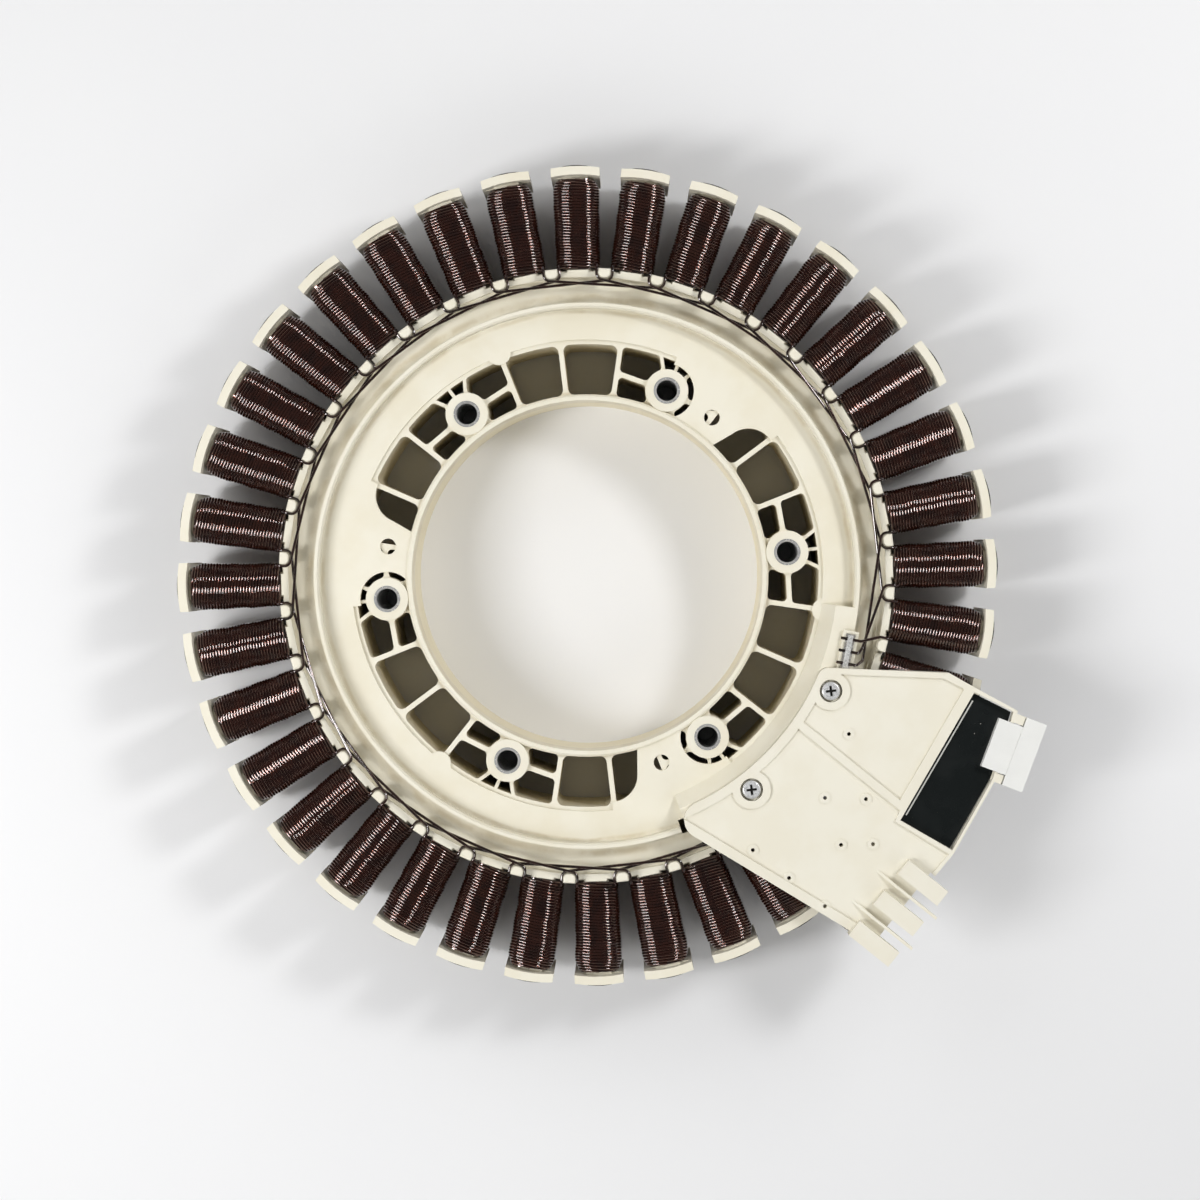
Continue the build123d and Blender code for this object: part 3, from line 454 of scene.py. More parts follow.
@dataclass(frozen=True)
class Enamel:
    """Winding wire: copper under dark, glossy enamel."""

    name: str
    colour: Colour = (0.100, 0.024, 0.011)
    worn_colour: Colour = (0.052, 0.012, 0.006)
    metallic: float = 0.8
    rough_low: float = 0.10
    rough_high: float = 0.16
    coat: float = 1.0
    coat_roughness: float = 0.03
    coat_ior: float = 2.2
    cloud: float = 240.0
    grain: float = 1500.0

    def material(self) -> bpy.types.Material:
        """Builds the finish.

        Returns:
            The material.
        """
        material, graph, shader = new_material(self.name)
        place = graph.place()
        mottle = graph.effect(Effect.MOTTLE, Vector=place, Cloud=self.cloud, Grain=self.grain)
        colour = graph.blend(mottle.outputs["Mask"], self.colour, self.worn_colour)
        rough = graph.grained(mottle.outputs["Height"], self.rough_low, self.rough_high)
        graph.feed(shader.inputs["Base Color"], colour)
        graph.feed(shader.inputs["Roughness"], rough)
        shader.inputs["Metallic"].default_value = self.metallic
        shader.inputs["Coat Weight"].default_value = self.coat
        shader.inputs["Coat Roughness"].default_value = self.coat_roughness
        shader.inputs["Coat IOR"].default_value = self.coat_ior
        return material


@dataclass(frozen=True)
class SheetStack:
    """Edges of stacked steel sheets."""

    name: str
    colour: Colour = (0.16, 0.16, 0.17)
    line_colour: Colour = (0.035, 0.033, 0.032)
    pale_colour: Colour = (0.28, 0.27, 0.27)
    oil_colour: Colour = (0.10, 0.085, 0.07)
    pale_share: float = 0.35
    oil_share: float = 0.4
    pitch: float = 0.5
    cloud: float = 160.0
    grain: float = 1800.0
    rough_low: float = 0.38
    rough_high: float = 0.58
    metallic: float = 0.85
    line_strength: float = 0.5
    line_depth: float = 0.08 * MM

    def material(self) -> bpy.types.Material:
        """Builds the finish.

        Returns:
            The material.
        """
        material, graph, shader = new_material(self.name)
        place = graph.place()
        sheets = graph.effect(Effect.SHEETS, Vector=place, Pitch=self.pitch * MM)
        mottle = graph.effect(Effect.MOTTLE, Vector=place, Cloud=self.cloud, Grain=self.grain)
        tone = graph.math("MULTIPLY", sheets.outputs["Tone"], self.pale_share)
        oil = graph.math("MULTIPLY", mottle.outputs["Mask"], self.oil_share)
        sheet = graph.blend(oil, graph.blend(tone, self.colour, self.pale_colour), self.oil_colour)
        colour = graph.blend(sheets.outputs["Line"], self.line_colour, sheet)
        rough = graph.grained(mottle.outputs["Height"], self.rough_low, self.rough_high)
        graph.feed(shader.inputs["Base Color"], colour)
        graph.feed(shader.inputs["Roughness"], rough)
        shader.inputs["Metallic"].default_value = self.metallic
        add_bump(graph, shader, sheets.outputs["Line"], self.line_strength, self.line_depth)
        return material


@dataclass(frozen=True)
class BareMetal:
    """Bright metal with fine marks, some dull patches, and painted shade below a given height."""

    name: str
    colour: Colour
    dull_colour: Colour
    rough_low: float = 0.16
    rough_high: float = 0.34
    marks: float = 900.0
    patch: float = 300.0
    patch_share: float = 0.4
    metallic: float = 1.0
    shade_top: float = 0.0
    shade_fade: float = 0.4
    recess_shade_colour: Colour = (0.035, 0.032, 0.028)
    grain: float = 2500.0
    mark_strength: float = 0.15
    mark_depth: float = 0.04 * MM

    def material(self) -> bpy.types.Material:
        """Builds the finish.

        Returns:
            The material.
        """
        material, graph, shader = new_material(self.name)
        place = graph.place()
        brush = graph.effect(Effect.BRUSH, Vector=place, Scale=self.marks)
        mottle = graph.effect(Effect.MOTTLE, Vector=place, Cloud=self.patch, Grain=self.grain)
        share = graph.math("MULTIPLY", mottle.outputs["Mask"], self.patch_share)
        split = graph.add("ShaderNodeSeparateXYZ")
        graph.feed(split.inputs[0], place)
        # Painted shade: the metal turns dark below the given top height, for recesses.
        fade_start = (self.shade_top - self.shade_fade) * MM
        recess_shade = graph.spread(split.outputs[2], fade_start, self.shade_top * MM, 1.0, 0.0)
        clean = graph.blend(share, self.colour, self.dull_colour)
        graph.feed(shader.inputs["Base Color"], graph.blend(recess_shade, clean, self.recess_shade_colour))
        rough = graph.spread(brush.outputs["Mask"], 0.0, 1.0, self.rough_low, self.rough_high)
        graph.feed(shader.inputs["Roughness"], rough)
        shader.inputs["Metallic"].default_value = self.metallic
        add_bump(graph, shader, brush.outputs["Height"], self.mark_strength, self.mark_depth)
        return material


@dataclass(frozen=True)
class BoardCoat:
    """Dark solder mask with a soft sheen and pale specks."""

    name: str
    colour: Colour = (0.006, 0.008, 0.008)
    sheen_colour: Colour = (0.007, 0.009, 0.009)
    speck_colour: Colour = (0.45, 0.43, 0.38)
    sheen_scale: float = 70.0
    sheen_range: tuple[float, float] = (0.35, 0.65)
    speck_scale: float = 420.0
    speck_above: float = 0.97
    speck_edge: tuple[float, float] = (0.05, 0.10)
    speck_share: float = 0.7
    rough_low: float = 0.26
    rough_high: float = 0.34

    def material(self) -> bpy.types.Material:
        """Builds the finish.

        Returns:
            The material.
        """
        material, graph, shader = new_material(self.name)
        place = graph.place()
        sheen = graph.spread(graph.noise(place, self.sheen_scale), *self.sheen_range)
        dots = graph.add("ShaderNodeTexVoronoi", feature="F1")
        graph.feed(dots.inputs["Vector"], place)
        dots.inputs["Scale"].default_value = self.speck_scale
        pick = graph.add("ShaderNodeSeparateColor")
        graph.feed(pick.inputs[0], dots.outputs["Color"])
        rare = graph.math("GREATER_THAN", pick.outputs[0], self.speck_above)
        near = graph.spread(dots.outputs["Distance"], *self.speck_edge, 1.0, 0.0)
        speck = graph.math("MULTIPLY", graph.math("MULTIPLY", rare, near), self.speck_share)
        colour = graph.blend(sheen, self.colour, self.sheen_colour)
        rough = graph.spread(sheen, 0.0, 1.0, self.rough_low, self.rough_high)
        graph.feed(shader.inputs["Base Color"], graph.blend(speck, colour, self.speck_colour))
        graph.feed(shader.inputs["Roughness"], rough)
        return material


def only(piece: bpy.types.Object) -> None:
    """Selects one object alone and makes it active.

    Args:
        piece: The object.
    """
    bpy.ops.object.select_all(action="DESELECT")
    piece.select_set(True)
    bpy.context.view_layer.objects.active = piece


def named_primitive(name: str) -> bpy.types.Object:
    """Names the primitive that was just added and keeps it alone in the selection.

    Args:
        name: The piece's name.

    Returns:
        The object.
    """
    piece = bpy.context.active_object
    piece.name = name
    piece.data.name = name
    only(piece)
    return piece


def edit(piece: bpy.types.Object, mode: str) -> None:
    """Enters edit mode with nothing selected.

    Args:
        piece: The object.
        mode: VERT, EDGE or FACE.
    """
    only(piece)
    bpy.ops.object.mode_set(mode="EDIT")
    bpy.ops.mesh.select_mode(type=mode)
    bpy.ops.mesh.select_all(action="DESELECT")


def leave_edit() -> None:
    """Returns to object mode."""
    bpy.ops.object.mode_set(mode="OBJECT")


def select_faces(piece: bpy.types.Object, test: PickTest) -> None:
    """Selects the faces of a piece in edit mode that pass a test.

    Args:
        piece: The object in edit mode.
        test: A function of a face's middle and normal.
    """
    leave_edit()
    for face in piece.data.polygons:
        face.select = test(face.center, face.normal)
    bpy.ops.object.mode_set(mode="EDIT")


def select_edges(piece: bpy.types.Object, test: PickTest) -> None:
    """Selects the edges of a piece in edit mode that pass a test.

    Args:
        piece: The object in edit mode.
        test: A function of an edge's two ends.
    """
    leave_edit()
    for edge in piece.data.edges:
        start, end = (piece.data.vertices[i].co for i in edge.vertices)
        edge.select = test(start, end)
    bpy.ops.object.mode_set(mode="EDIT")


def settle(piece: bpy.types.Object, matrix: Matrix | None = None) -> None:
    """Puts a piece's place into its mesh and leaves its object at the origin.

    Args:
        piece: The object.
        matrix: A further placement.
    """
    if matrix is not None:
        piece.matrix_world = matrix @ piece.matrix_world
        bpy.context.view_layer.update()
    only(piece)
    bpy.ops.object.transform_apply(location=True, rotation=True, scale=True)


def dress(piece: bpy.types.Object, material: bpy.types.Material) -> None:
    """Gives a piece one material on all its faces.

    Args:
        piece: The object.
        material: The finish.
    """
    if len(piece.material_slots) == 0:
        piece.data.materials.append(material)
    for slot in piece.material_slots:
        slot.material = material


def smooth(piece: bpy.types.Object, angle: float = SMOOTH_ANGLE) -> None:
    """Smooth shading with sharp edges kept.

    Args:
        piece: The object.
        angle: Edges that turn by more stay sharp.
    """
    only(piece)
    bpy.ops.object.shade_smooth_by_angle(angle=angle)


def turn_about_bore(degrees: float) -> Matrix:
    """A turn about the bore axis.

    Args:
        degrees: The angle.

    Returns:
        The matrix.
    """
    return Matrix.Rotation(math.radians(degrees), 4, "Z")


@dataclass
class Windings:
    """The coils as round wire: one turn is modelled, repeated and settled unevenly in each coil.

    Lengths are in metres. Places along a coil are shares of its length from the bore outwards, and
    the drops and lifts of a turn are shares of the wire's radius.
    """

    turns: int = 31
    wire_radius: float = 0.475 * MM
    start_x: float = 100.3 * MM
    end_x: float = 130.3 * MM
    half_width: float = 7.15 * MM
    widest_gain: float = 0.55 * MM
    widest_share: float = 0.86
    half_height: float = 14.45 * MM
    crown_radius: float = 11.0 * MM
    corner_radius: float = 2.6 * MM
    crown_steps: int = 8
    corner_steps: int = 3
    wire_sides: int = 8
    merge_share: float = 0.01
    sleeve_depth: float = 2.6
    sleeve_wall: float = 2.4 * MM
    sleeve_corner: float = 1.3
    sleeve_corner_steps: int = 4
    slack: float = 0.045 * MM
    side_slack: float = 0.05 * MM
    lean: float = 0.05 * MM
    lean_share: float = 0.5
    wave: float = 0.08 * MM
    wave_count: int = 3
    kink_places: tuple[float, float] = (0.25, 0.75)
    kink_lifts: tuple[float, float] = (0.2, 0.6)
    kink_width: float = 0.02
    drop_places: tuple[float, ...] = (0.0, 0.03, 0.9, 0.94, 1.0)
    drop_depths: tuple[float, ...] = (0.6, 0.0, 0.0, 0.5, 1.2)
    side_drop: float = 1.2
    seed: int = 41
    material: bpy.types.Material | None = field(default=None, repr=False)

    @property
    def pitch(self) -> float:
        """Distance between turns."""
        return (self.end_x - self.start_x) / self.turns

    def corner_angle(self) -> float:
        """Half the crown's arc, found where the corner's arc meets the straight side."""
        reach = self.half_width - self.wire_radius - self.corner_radius
        return math.asin(reach / (self.crown_radius - self.wire_radius - self.corner_radius))

    def one_turn(self) -> bpy.types.Object:
        """Models one flat turn about the tooth's middle line, with its ends above the tooth.

        Returns:
            The turn as a tube whose open ends meet.
        """
        top = self.half_height - self.wire_radius
        bpy.ops.mesh.primitive_circle_add(
            vertices=self.wire_sides,
            radius=self.wire_radius,
            location=(0, 0, top),
            rotation=(math.pi / 2, 0, 0),
        )
        turn = named_primitive("turn")
        settle(turn)
        edit(turn, "EDGE")
        bpy.ops.mesh.select_all(action="SELECT")
        crown = self.crown_radius - self.wire_radius
        half_arc = self.corner_angle()
        corner = self.corner_radius
        crown_middle = top - crown
        corner_y = (crown - corner) * math.sin(half_arc)
        corner_z = crown_middle + (crown - corner) * math.cos(half_arc)
        side_turn = math.pi / 2 - half_arc
        for quarter, (side, end) in enumerate(((1, 1), (1, -1), (-1, -1), (-1, 1))):
            crown_centre = (0, 0, crown_middle * end)
            corner_centre = (0, side * corner_y, end * corner_z)
            arcs = [
                (crown_centre, half_arc, self.crown_steps // 2),
                (corner_centre, side_turn, self.corner_steps),
            ]
            if quarter % 2:
                arcs.reverse()
            for centre, angle, steps in arcs:
                bpy.ops.mesh.spin(steps=steps, angle=angle, center=centre, axis=(1, 0, 0))
            if quarter % 2 == 0:
                run = -side * 2 * corner_z
                bpy.ops.mesh.extrude_region_move(TRANSFORM_OT_translate={"value": (0, 0, run)})
        leave_edit()
        return turn

    def helix(self) -> bpy.types.Object:
        """Makes each turn end one pitch further on, and repeats it as one wire with closed ends.

        Returns:
            The wire.
        """
        wire = self.one_turn()
        places = self.read(wire)
        rings = len(places) // self.wire_sides
        ring = np.repeat(np.arange(rings), self.wire_sides)
        first_crown = self.crown_steps // 2
        start = rings - 1 - first_crown
        first_half = np.clip(ring / first_crown, 0, 1) / 2
        second_half = np.clip((ring - start) / first_crown, 0, 1) / 2
        climb = second_half + first_half
        places[:, 0] += self.pitch * climb + self.start_x + self.wire_radius
        self.write(wire, places)
        array = wire.modifiers.new("turns", "ARRAY")
        array.count = self.turns - 1
        array.use_relative_offset = False
        array.use_constant_offset = True
        array.constant_offset_displace = (self.pitch, 0, 0)
        array.use_merge_vertices = True
        array.merge_threshold = self.wire_radius * self.merge_share
        only(wire)
        bpy.ops.object.modifier_apply(modifier=array.name)
        edit(wire, "EDGE")
        bpy.ops.mesh.select_non_manifold(extend=False)
        bpy.ops.mesh.fill()
        bpy.ops.mesh.select_all(action="SELECT")
        bpy.ops.mesh.normals_make_consistent(inside=False)
        leave_edit()
        return wire

    def inner_layers(self) -> bpy.types.Object:
        """Models the lower layers as a sleeve, which closes the view between the turns.

        Returns:
            The sleeve, with an opening for the tooth.
        """
        inset = self.wire_radius * self.sleeve_depth
        length = self.end_x - self.start_x - self.wire_radius
        size = (length, 2 * (self.half_width - inset), 2 * (self.half_height - inset))
        middle = ((self.start_x + self.end_x) / 2, 0, 0)
        bpy.ops.mesh.primitive_cube_add(size=1, location=middle)
        sleeve = named_primitive("sleeve")
        sleeve.scale = size
        settle(sleeve)
        edit(sleeve, "EDGE")
        select_edges(sleeve, lambda start, end: abs(start.x - end.x) > length / 2)
        bpy.ops.mesh.bevel(
            offset=self.corner_radius * self.sleeve_corner,
            segments=self.sleeve_corner_steps,
            affect="EDGES",
        )
        bpy.ops.mesh.select_mode(type="FACE")
        select_faces(sleeve, lambda middle, normal: abs(normal.x) > FACING)
        bpy.ops.mesh.inset(thickness=self.sleeve_wall)
        bpy.ops.mesh.bridge_edge_loops()
        bpy.ops.mesh.select_all(action="SELECT")
        bpy.ops.mesh.normals_make_consistent(inside=False)
        leave_edit()
        return sleeve

    def read(self, piece: bpy.types.Object) -> np.ndarray:
        """Reads the places of a piece's points.

        Args:
            piece: The object.

        Returns:
            One row for each point.
        """
        places = np.empty(len(piece.data.vertices) * 3)
        piece.data.vertices.foreach_get("co", places)
        return places.reshape(-1, 3)

    def write(self, piece: bpy.types.Object, places: np.ndarray) -> None:
        """Moves a piece's points.

        Args:
            piece: The object.
            places: One row for each point.
        """
        piece.data.vertices.foreach_set("co", places.ravel())
        piece.data.update()

    def settled(self, places: np.ndarray, draw: np.random.Generator) -> np.ndarray:
        """Presses the turns of one coil into the uneven form of a real winding.

        Args:
            places: Points of the even coil.
            draw: The seeded random numbers of this coil.

        Returns:
            The moved points.
        """
        share = (places[:, 0] - self.start_x) / (self.end_x - self.start_x)
        near = share / self.widest_share
        far = (1 - share) / (1 - self.widest_share)
        width = 1 + self.widest_gain / self.half_width * np.minimum(np.minimum(near, far), 1)
        knots = np.arange(self.turns)
        index = np.clip(share * self.turns, 0, self.turns - 1)
        height = np.interp(index, knots, draw.normal(0, self.slack, self.turns))
        end_drop = np.interp(share, self.drop_places, self.drop_depths) * self.wire_radius
        from_kink = (share - draw.uniform(*self.kink_places)) / self.kink_width
        lift = np.exp(-(from_kink**2)) * self.wire_radius * draw.uniform(*self.kink_lifts)
        moved = places.copy()
        moved[:, 2] *= 1 + (height + lift - end_drop) / self.half_height
        side_slack = np.interp(index, knots, draw.normal(0, self.side_slack, self.turns))
        moved[:, 1] *= width + (side_slack - end_drop * self.side_drop) / self.half_width
        lean = np.interp(index, knots, draw.normal(0, self.lean, self.turns))
        moved[:, 1] += lean * np.sign(moved[:, 2]) * self.lean_share
        phase = draw.uniform(0, math.tau)
        moved[:, 1] += np.sin(share * math.tau * self.wave_count + phase) * self.wave
        moved[:, 2] = np.clip(moved[:, 2], -self.half_height, self.half_height)
        return moved

    def copy_of(self, source: bpy.types.Object, places: np.ndarray) -> bpy.types.Object:
        """Copies a piece with a mesh of its own.

        Args:
            source: The piece to copy.
            places: Where the copy's points go, one row each.

        Returns:
            The copy.
        """
        part = source.copy()
        part.data = source.data.copy()
        bpy.context.collection.objects.link(part)
        self.write(part, places)
        return part

    def build(self) -> None:
        """Makes one coil for each tooth."""
        wire = self.helix()
        sleeve = self.inner_layers()
        wire_places = self.read(wire)
        sleeve_places = self.read(sleeve)
        smooth(wire, WIRE_SMOOTH_ANGLE)
        smooth(sleeve)
        for index in range(TOOTH_COUNT):
            draw = np.random.default_rng(self.seed + index)
            coil = self.copy_of(wire, self.settled(wire_places, draw))
            lower = self.copy_of(sleeve, sleeve_places)
            only(coil)
            lower.select_set(True)
            bpy.ops.object.join()
            coil.name = f"winding_{index + 1:02d}"
            coil.data.name = coil.name
            lift = Matrix.Translation((0, 0, CORE_MIDDLE_Z))
            settle(coil, turn_about_bore(FIRST_TOOTH + TOOTH_PITCH * index) @ lift)
            dress(coil, self.material)
            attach(coil, BODY)
            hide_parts(f"coil_{index + 1:02d}")
        for source in (wire, sleeve):
            bpy.data.objects.remove(source)
        LOG.info("windings: %d coils of %d turns", TOOTH_COUNT, self.turns)


@dataclass
class Fittings:
    """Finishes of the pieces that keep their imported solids."""

    nodes: dict[str, bpy.types.Object] = field(default_factory=dict)

    def finishes(self) -> dict[str, bpy.types.Material]:
        """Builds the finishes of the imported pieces.

        Returns:
            The finish of each node or group of nodes, by the start of its name.
        """
        # Rings of painted shade: the wires' shadow in the trough; shade at the feet of the crest,
        # flange wall, plate edge and hub ring; and darker lower parts below 35.4 mm.
        hub_shade_rings = (
            ShadeRing(91.2, 2.0, 2.6, 41.0, 0.42),
            ShadeRing(86.6, 1.1, 1.6, 37.6, 0.35),
            ShadeRing(59.9, 0.8, 1.2, 37.0, 0.35),
            ShadeRing(97.0, 0.9, 1.2, 37.5, 0.30),
            ShadeRing(78.2, 0.7, 1.4, 36.5, 0.30),
            ShadeRing(68.0, 34.0, 0.0, 35.4, 0.45),
        )
        cream = Moulding(
            "cream moulding", (0.83, 0.79, 0.665), (0.76, 0.70, 0.54), shade_rings=hub_shade_rings
        )
        # The lower insulator is the same cream plastic, given a darker, warmer colour as painted
        # shade seen through the windows.
        under = Moulding("cream moulding in painted shade", (0.80, 0.73, 0.55), (0.72, 0.64, 0.44))
        ivory = Moulding("ivory moulding", (0.83, 0.795, 0.68), (0.78, 0.73, 0.59), cloud=70.0)
        white = Moulding("white moulding", (0.82, 0.82, 0.79), (0.76, 0.76, 0.73), cloud=90.0)
        black = Moulding("black package", (0.02, 0.02, 0.02), (0.03, 0.03, 0.03), cloud=300.0)
        tin = BareMetal(
            "bright tin",
            (0.74, 0.73, 0.70),
            (0.50, 0.42, 0.32),
            rough_low=0.20,
            rough_high=0.40,
            marks=700.0,
            patch=520.0,
            patch_share=0.45,
            metallic=0.7,
        )
        bush = BareMetal(
            "turned steel",
            (0.78, 0.78, 0.77),
            (0.52, 0.51, 0.49),
            rough_high=0.30,
            metallic=0.6,
        )
        link_enamel = Enamel(
            "link wire enamel", (0.050, 0.015, 0.010), (0.022, 0.009, 0.007), metallic=0.6
        ).material()
        # Below 48.1 mm the screw heads get painted shade, which darkens their cross recesses.
        zinc = BareMetal(
            "zinc plate",
            (0.88, 0.88, 0.88),
            (0.62, 0.62, 0.60),
            rough_low=0.26,
            rough_high=0.40,
            metallic=0.45,
            shade_top=48.1,
        )
        return {
            "upper_insulator": cream.material(),
            "lower_insulator": under.material(),
            "stator_core": SheetStack("steel sheets").material(),
            "bush_": bush.material(),
            "phase_u_links": link_enamel,
            "connector_cover": ivory.material(),
            "sensor_board": BoardCoat("solder mask").material(),
            "hall_sensors": black.material(),
            "signal_header": white.material(),
            "header_pins": tin.material(),
            "neutral_joint": tin.material(),
            "cover_screws": zinc.material(),
        }

    def build(self) -> None:
        """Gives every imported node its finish."""
        finishes = self.finishes()
        shared = {
            "phase_v_links": "phase_u_links",
            "phase_w_links": "phase_u_links",
            "phase_tab_u": "neutral_joint",
            "phase_tab_v": "neutral_joint",
            "phase_tab_w": "neutral_joint",
            "coil_": "phase_u_links",
        }
        for name, node in self.nodes.items():
            keys = [k for k in finishes if name.startswith(k)]
            keys += [shared[k] for k in shared if name.startswith(k)]
            dress(node, finishes[keys[0]])
            LOG.info("finish: %s takes %s", name, finishes[keys[0]].name)


@dataclass
class LowBar:
    """A low bar on the wiring side, in millimetres and degrees.

    Its top is narrower than its foot by the share bevel of the width on each side, and lies above
    height by the share rise of it.
    """

    name: str
    slot: Slot
    start: tuple[float, float]
    end: tuple[float, float]
    base: float
    width: float
    height: float
    angle: float
    bevel: float = 0.2
    rise: float = 0.4
    material: bpy.types.Material | None = field(default=None, repr=False)

    def build(self) -> None:
        """Models the bar and turns it into its place about the bore."""
        start = Vector((*self.start, 0)) * MM
        end = Vector((*self.end, 0)) * MM
        run = end - start
        bpy.ops.mesh.primitive_cube_add(size=1, location=(0, 0, 0))
        bar = named_primitive(self.name)
        bar.scale = (run.length, self.width * MM, self.height * MM)
        settle(bar)
        edit(bar, "FACE")
        select_faces(bar, lambda middle, normal: normal.z > FACING)
        bpy.ops.mesh.inset(thickness=self.width * MM * self.bevel)
        bpy.ops.transform.translate(value=(0, 0, self.height * MM * self.rise))
        leave_edit()
        middle = (start + end) / 2 + Vector((0, 0, (self.base + self.height / 2) * MM))
        turn = Matrix.Rotation(math.atan2(run.y, run.x), 4, "Z")
        settle(bar, turn_about_bore(self.angle) @ Matrix.Translation(middle) @ turn)
        dress(bar, self.material)
        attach(bar, BODY)
        LOG.info("bar: %s", self.name)


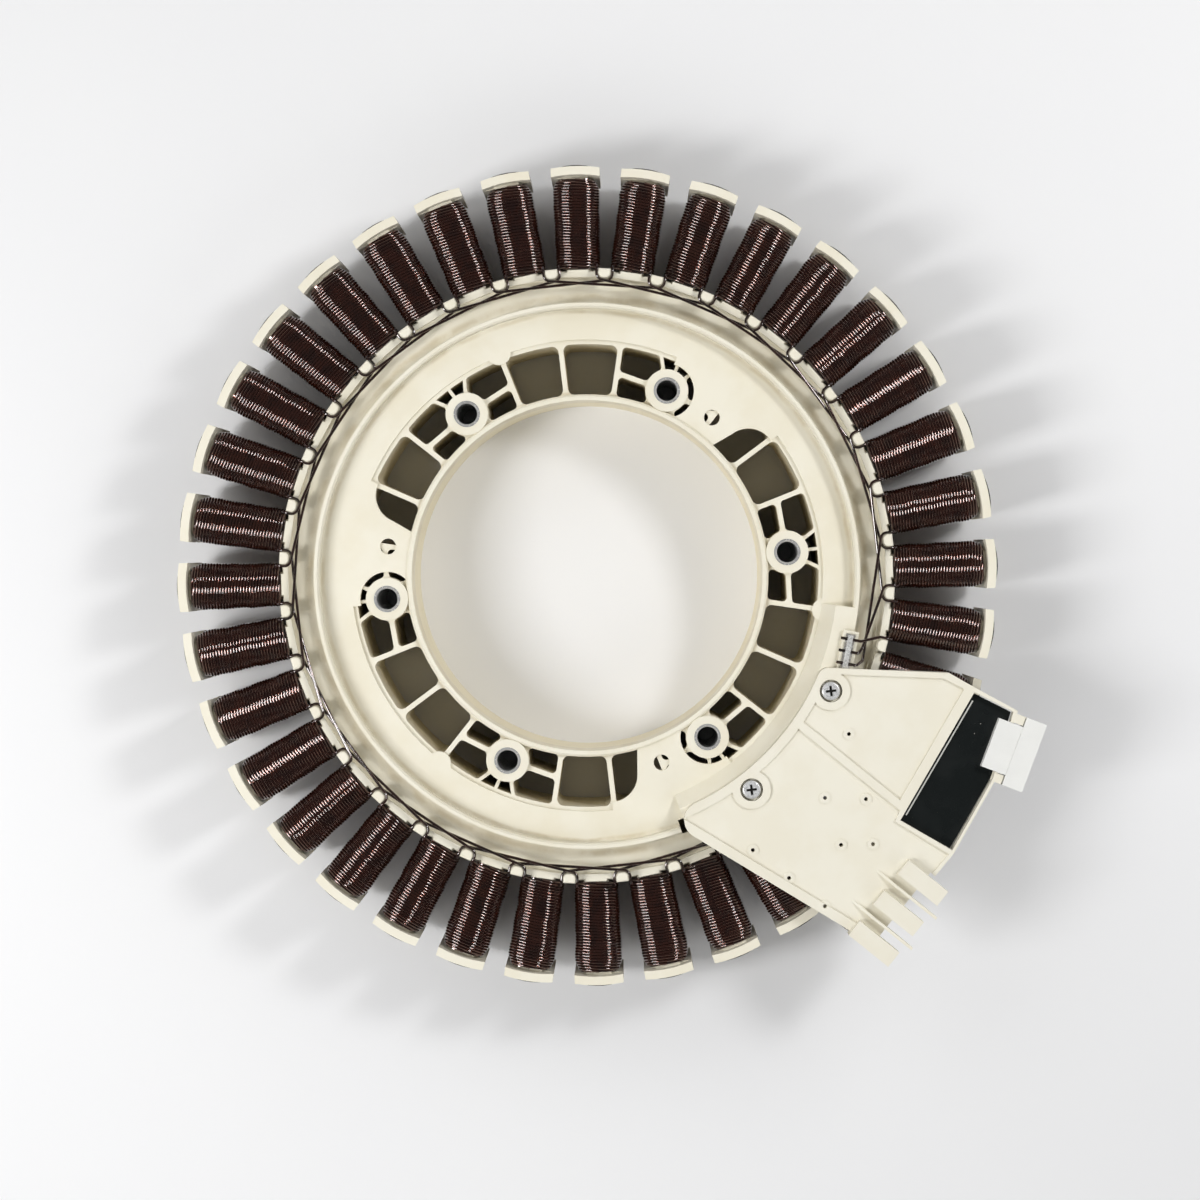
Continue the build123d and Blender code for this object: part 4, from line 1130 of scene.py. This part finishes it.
@dataclass
class Studio:
    """Floor, lights and the camera above the stator.

    Lengths are in metres, apart from the camera's place, lens and sensor, which are in millimetres.
    """

    camera_place: tuple[float, float, float] = (14.8, 5.7, 907.0)
    lens: float = 79.6
    shift: tuple[float, float] = (-0.025, -0.0392)
    sensor_width: float = 36.0
    clip_range: tuple[float, float] = (0.01, 50.0)
    floor_size: float = 8.0
    floor_rim: float = 0.05
    floor_rise: float = 0.01
    floor_edge: float = 0.49
    floor_colour: Colour = (0.86, 0.86, 0.865)
    floor_cloud_colour: Colour = (0.84, 0.84, 0.85)
    floor_cloud_share: float = 0.35
    floor_cloud: float = 6.0
    floor_grain: float = 900.0
    floor_rough: float = 0.7
    floor_bump: tuple[float, float] = (0.05, 0.1 * MM)
    room: float = 0.07
    aim_height: float = 0.03
    left_place: tuple[float, float, float] = (-0.49, -0.14, 0.66)
    left_size: tuple[float, float] = (0.14, 0.34)
    left_power: float = 2.95
    right_place: tuple[float, float, float] = (0.49, 0.26, 0.66)
    right_size: tuple[float, float] = (0.14, 0.16)
    right_power: float = 2.05
    panel_count: int = 4
    panel_start: float = 45.0
    panel_power: float = 4.4
    panel_size: float = 0.9
    panel_reach: float = 1.15
    panel_height: float = 0.80

    def across(self, right: float, up: float, height: float) -> Vector:
        """A place given by the photograph's right and up directions, in metres.

        Args:
            right: Distance to the right of the bore axis.
            up: Distance towards the photograph's upper edge.
            height: Distance above the floor.

        Returns:
            The place.
        """
        turn = math.radians(PHOTO_TURN)
        return Vector(
            (
                right * math.cos(turn) - up * math.sin(turn),
                right * math.sin(turn) + up * math.cos(turn),
                height,
            )
        )

    def camera(self) -> None:
        """Sets the camera straight above, turned as the photograph is."""
        data = bpy.data.cameras.new("photo camera")
        data.lens = self.lens
        data.sensor_width = self.sensor_width
        data.shift_x, data.shift_y = self.shift
        data.clip_start, data.clip_end = self.clip_range
        camera = bpy.data.objects.new("photo camera", data)
        camera.location = Vector(self.camera_place) * MM
        camera.rotation_euler = (0, 0, math.radians(PHOTO_TURN))
        bpy.context.collection.objects.link(camera)
        bpy.context.scene.camera = camera

    def lamp(
        self, name: str, place: Vector, size: tuple[float, float], power: float
    ) -> bpy.types.Object:
        """Adds one soft rectangular lamp aimed at the stator.

        Args:
            name: The lamp's name.
            place: Where it hangs.
            size: Its width and length in metres.
            power: Its power in watts.

        Returns:
            The lamp.
        """
        data = bpy.data.lights.new(name, "AREA")
        data.shape = "RECTANGLE"
        data.size, data.size_y = size
        data.energy = power
        lamp = bpy.data.objects.new(name, data)
        lamp.location = place
        aim = (Vector((0, 0, self.aim_height)) - place).to_track_quat("-Z", "Y")
        lamp.rotation_euler = aim.to_euler()
        bpy.context.collection.objects.link(lamp)
        return lamp

    def lights(self) -> None:
        """Hangs the two side lamps and the wide panels around them, and sets the dim room."""
        self.lamp("left lamp", self.across(*self.left_place), self.left_size, self.left_power)
        self.lamp("right lamp", self.across(*self.right_place), self.right_size, self.right_power)
        square = (self.panel_size, self.panel_size)
        for index in range(self.panel_count):
            angle = math.radians(self.panel_start + 360 / self.panel_count * index)
            right = self.panel_reach * math.cos(angle)
            up = self.panel_reach * math.sin(angle)
            place = self.across(right, up, self.panel_height)
            panel = self.lamp(f"panel {index + 1}", place, square, self.panel_power)
            panel.visible_glossy = False
        world = bpy.data.worlds.new("studio")
        world.use_nodes = True
        bpy.context.scene.world = world
        ground = next(n for n in world.node_tree.nodes if n.type == "BACKGROUND")
        ground.inputs["Color"].default_value = (1.0, 1.0, 1.0, 1.0)
        ground.inputs["Strength"].default_value = self.room

    def floor(self) -> None:
        """Lays the pale floor, with its far edges swept up."""
        bpy.ops.mesh.primitive_plane_add(size=self.floor_size, location=(0, 0, 0))
        floor = named_primitive("floor")
        edit(floor, "FACE")
        bpy.ops.mesh.select_all(action="SELECT")
        bpy.ops.mesh.inset(thickness=self.floor_size * self.floor_rim)
        leave_edit()
        for vertex in floor.data.vertices:
            if max(abs(vertex.co.x), abs(vertex.co.y)) > self.floor_size * self.floor_edge:
                vertex.co.z = self.floor_size * self.floor_rise
        material, graph, shader = new_material("pale floor")
        place = graph.place()
        mottle = graph.effect(
            Effect.MOTTLE, Vector=place, Cloud=self.floor_cloud, Grain=self.floor_grain
        )
        share = graph.math("MULTIPLY", mottle.outputs["Mask"], self.floor_cloud_share)
        colour = graph.blend(share, self.floor_colour, self.floor_cloud_colour)
        graph.feed(shader.inputs["Base Color"], colour)
        shader.inputs["Roughness"].default_value = self.floor_rough
        add_bump(graph, shader, mottle.outputs["Height"], *self.floor_bump)
        dress(floor, material)

    def build(self) -> None:
        """Sets the whole studio."""
        self.camera()
        self.lights()
        self.floor()
        bpy.context.scene.view_settings.view_transform = "Standard"
        LOG.info("studio: camera, lamps, panels and floor")


def low_bars() -> tuple[LowBar, ...]:
    """Describes the line on the board's edge and the bar that holds the neutral terminal.

    Returns:
        The bars, ready to build.
    """
    pale = Moulding("board print", (0.78, 0.78, 0.74), (0.70, 0.70, 0.66))
    clamp = BareMetal(
        "clamp tin",
        (0.88, 0.88, 0.86),
        (0.70, 0.68, 0.64),
        rough_low=0.22,
        rough_high=0.36,
        metallic=0.5,
    )
    return (
        LowBar(
            name="board_line",
            slot=Slot.CREAM,
            start=(123.1, 46.9),
            end=(129.5, 4.4),
            base=BOARD_TOP,
            width=0.45,
            height=0.05,
            angle=COVER_ANGLE,
            material=pale.material(),
        ),
        LowBar(
            name="joint_clamp",
            slot=Slot.TIN,
            start=(87.95, -2.7),
            end=(87.95, -13.4),
            base=JOINT_TOP,
            width=1.7,
            height=0.18,
            angle=NEUTRAL_ANGLE,
            material=clamp.material(),
        ),
    )


def main() -> None:
    """Builds the dressed stator piece by piece."""
    logging.basicConfig(level=logging.INFO, format="%(message)s")
    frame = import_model()
    EffectShelf().build()
    Studio().build()
    Fittings(frame["nodes"]).build()
    Windings(material=Enamel("winding enamel").material()).build()
    for bar in low_bars():
        bar.build()


if __name__ == "__main__":
    main()
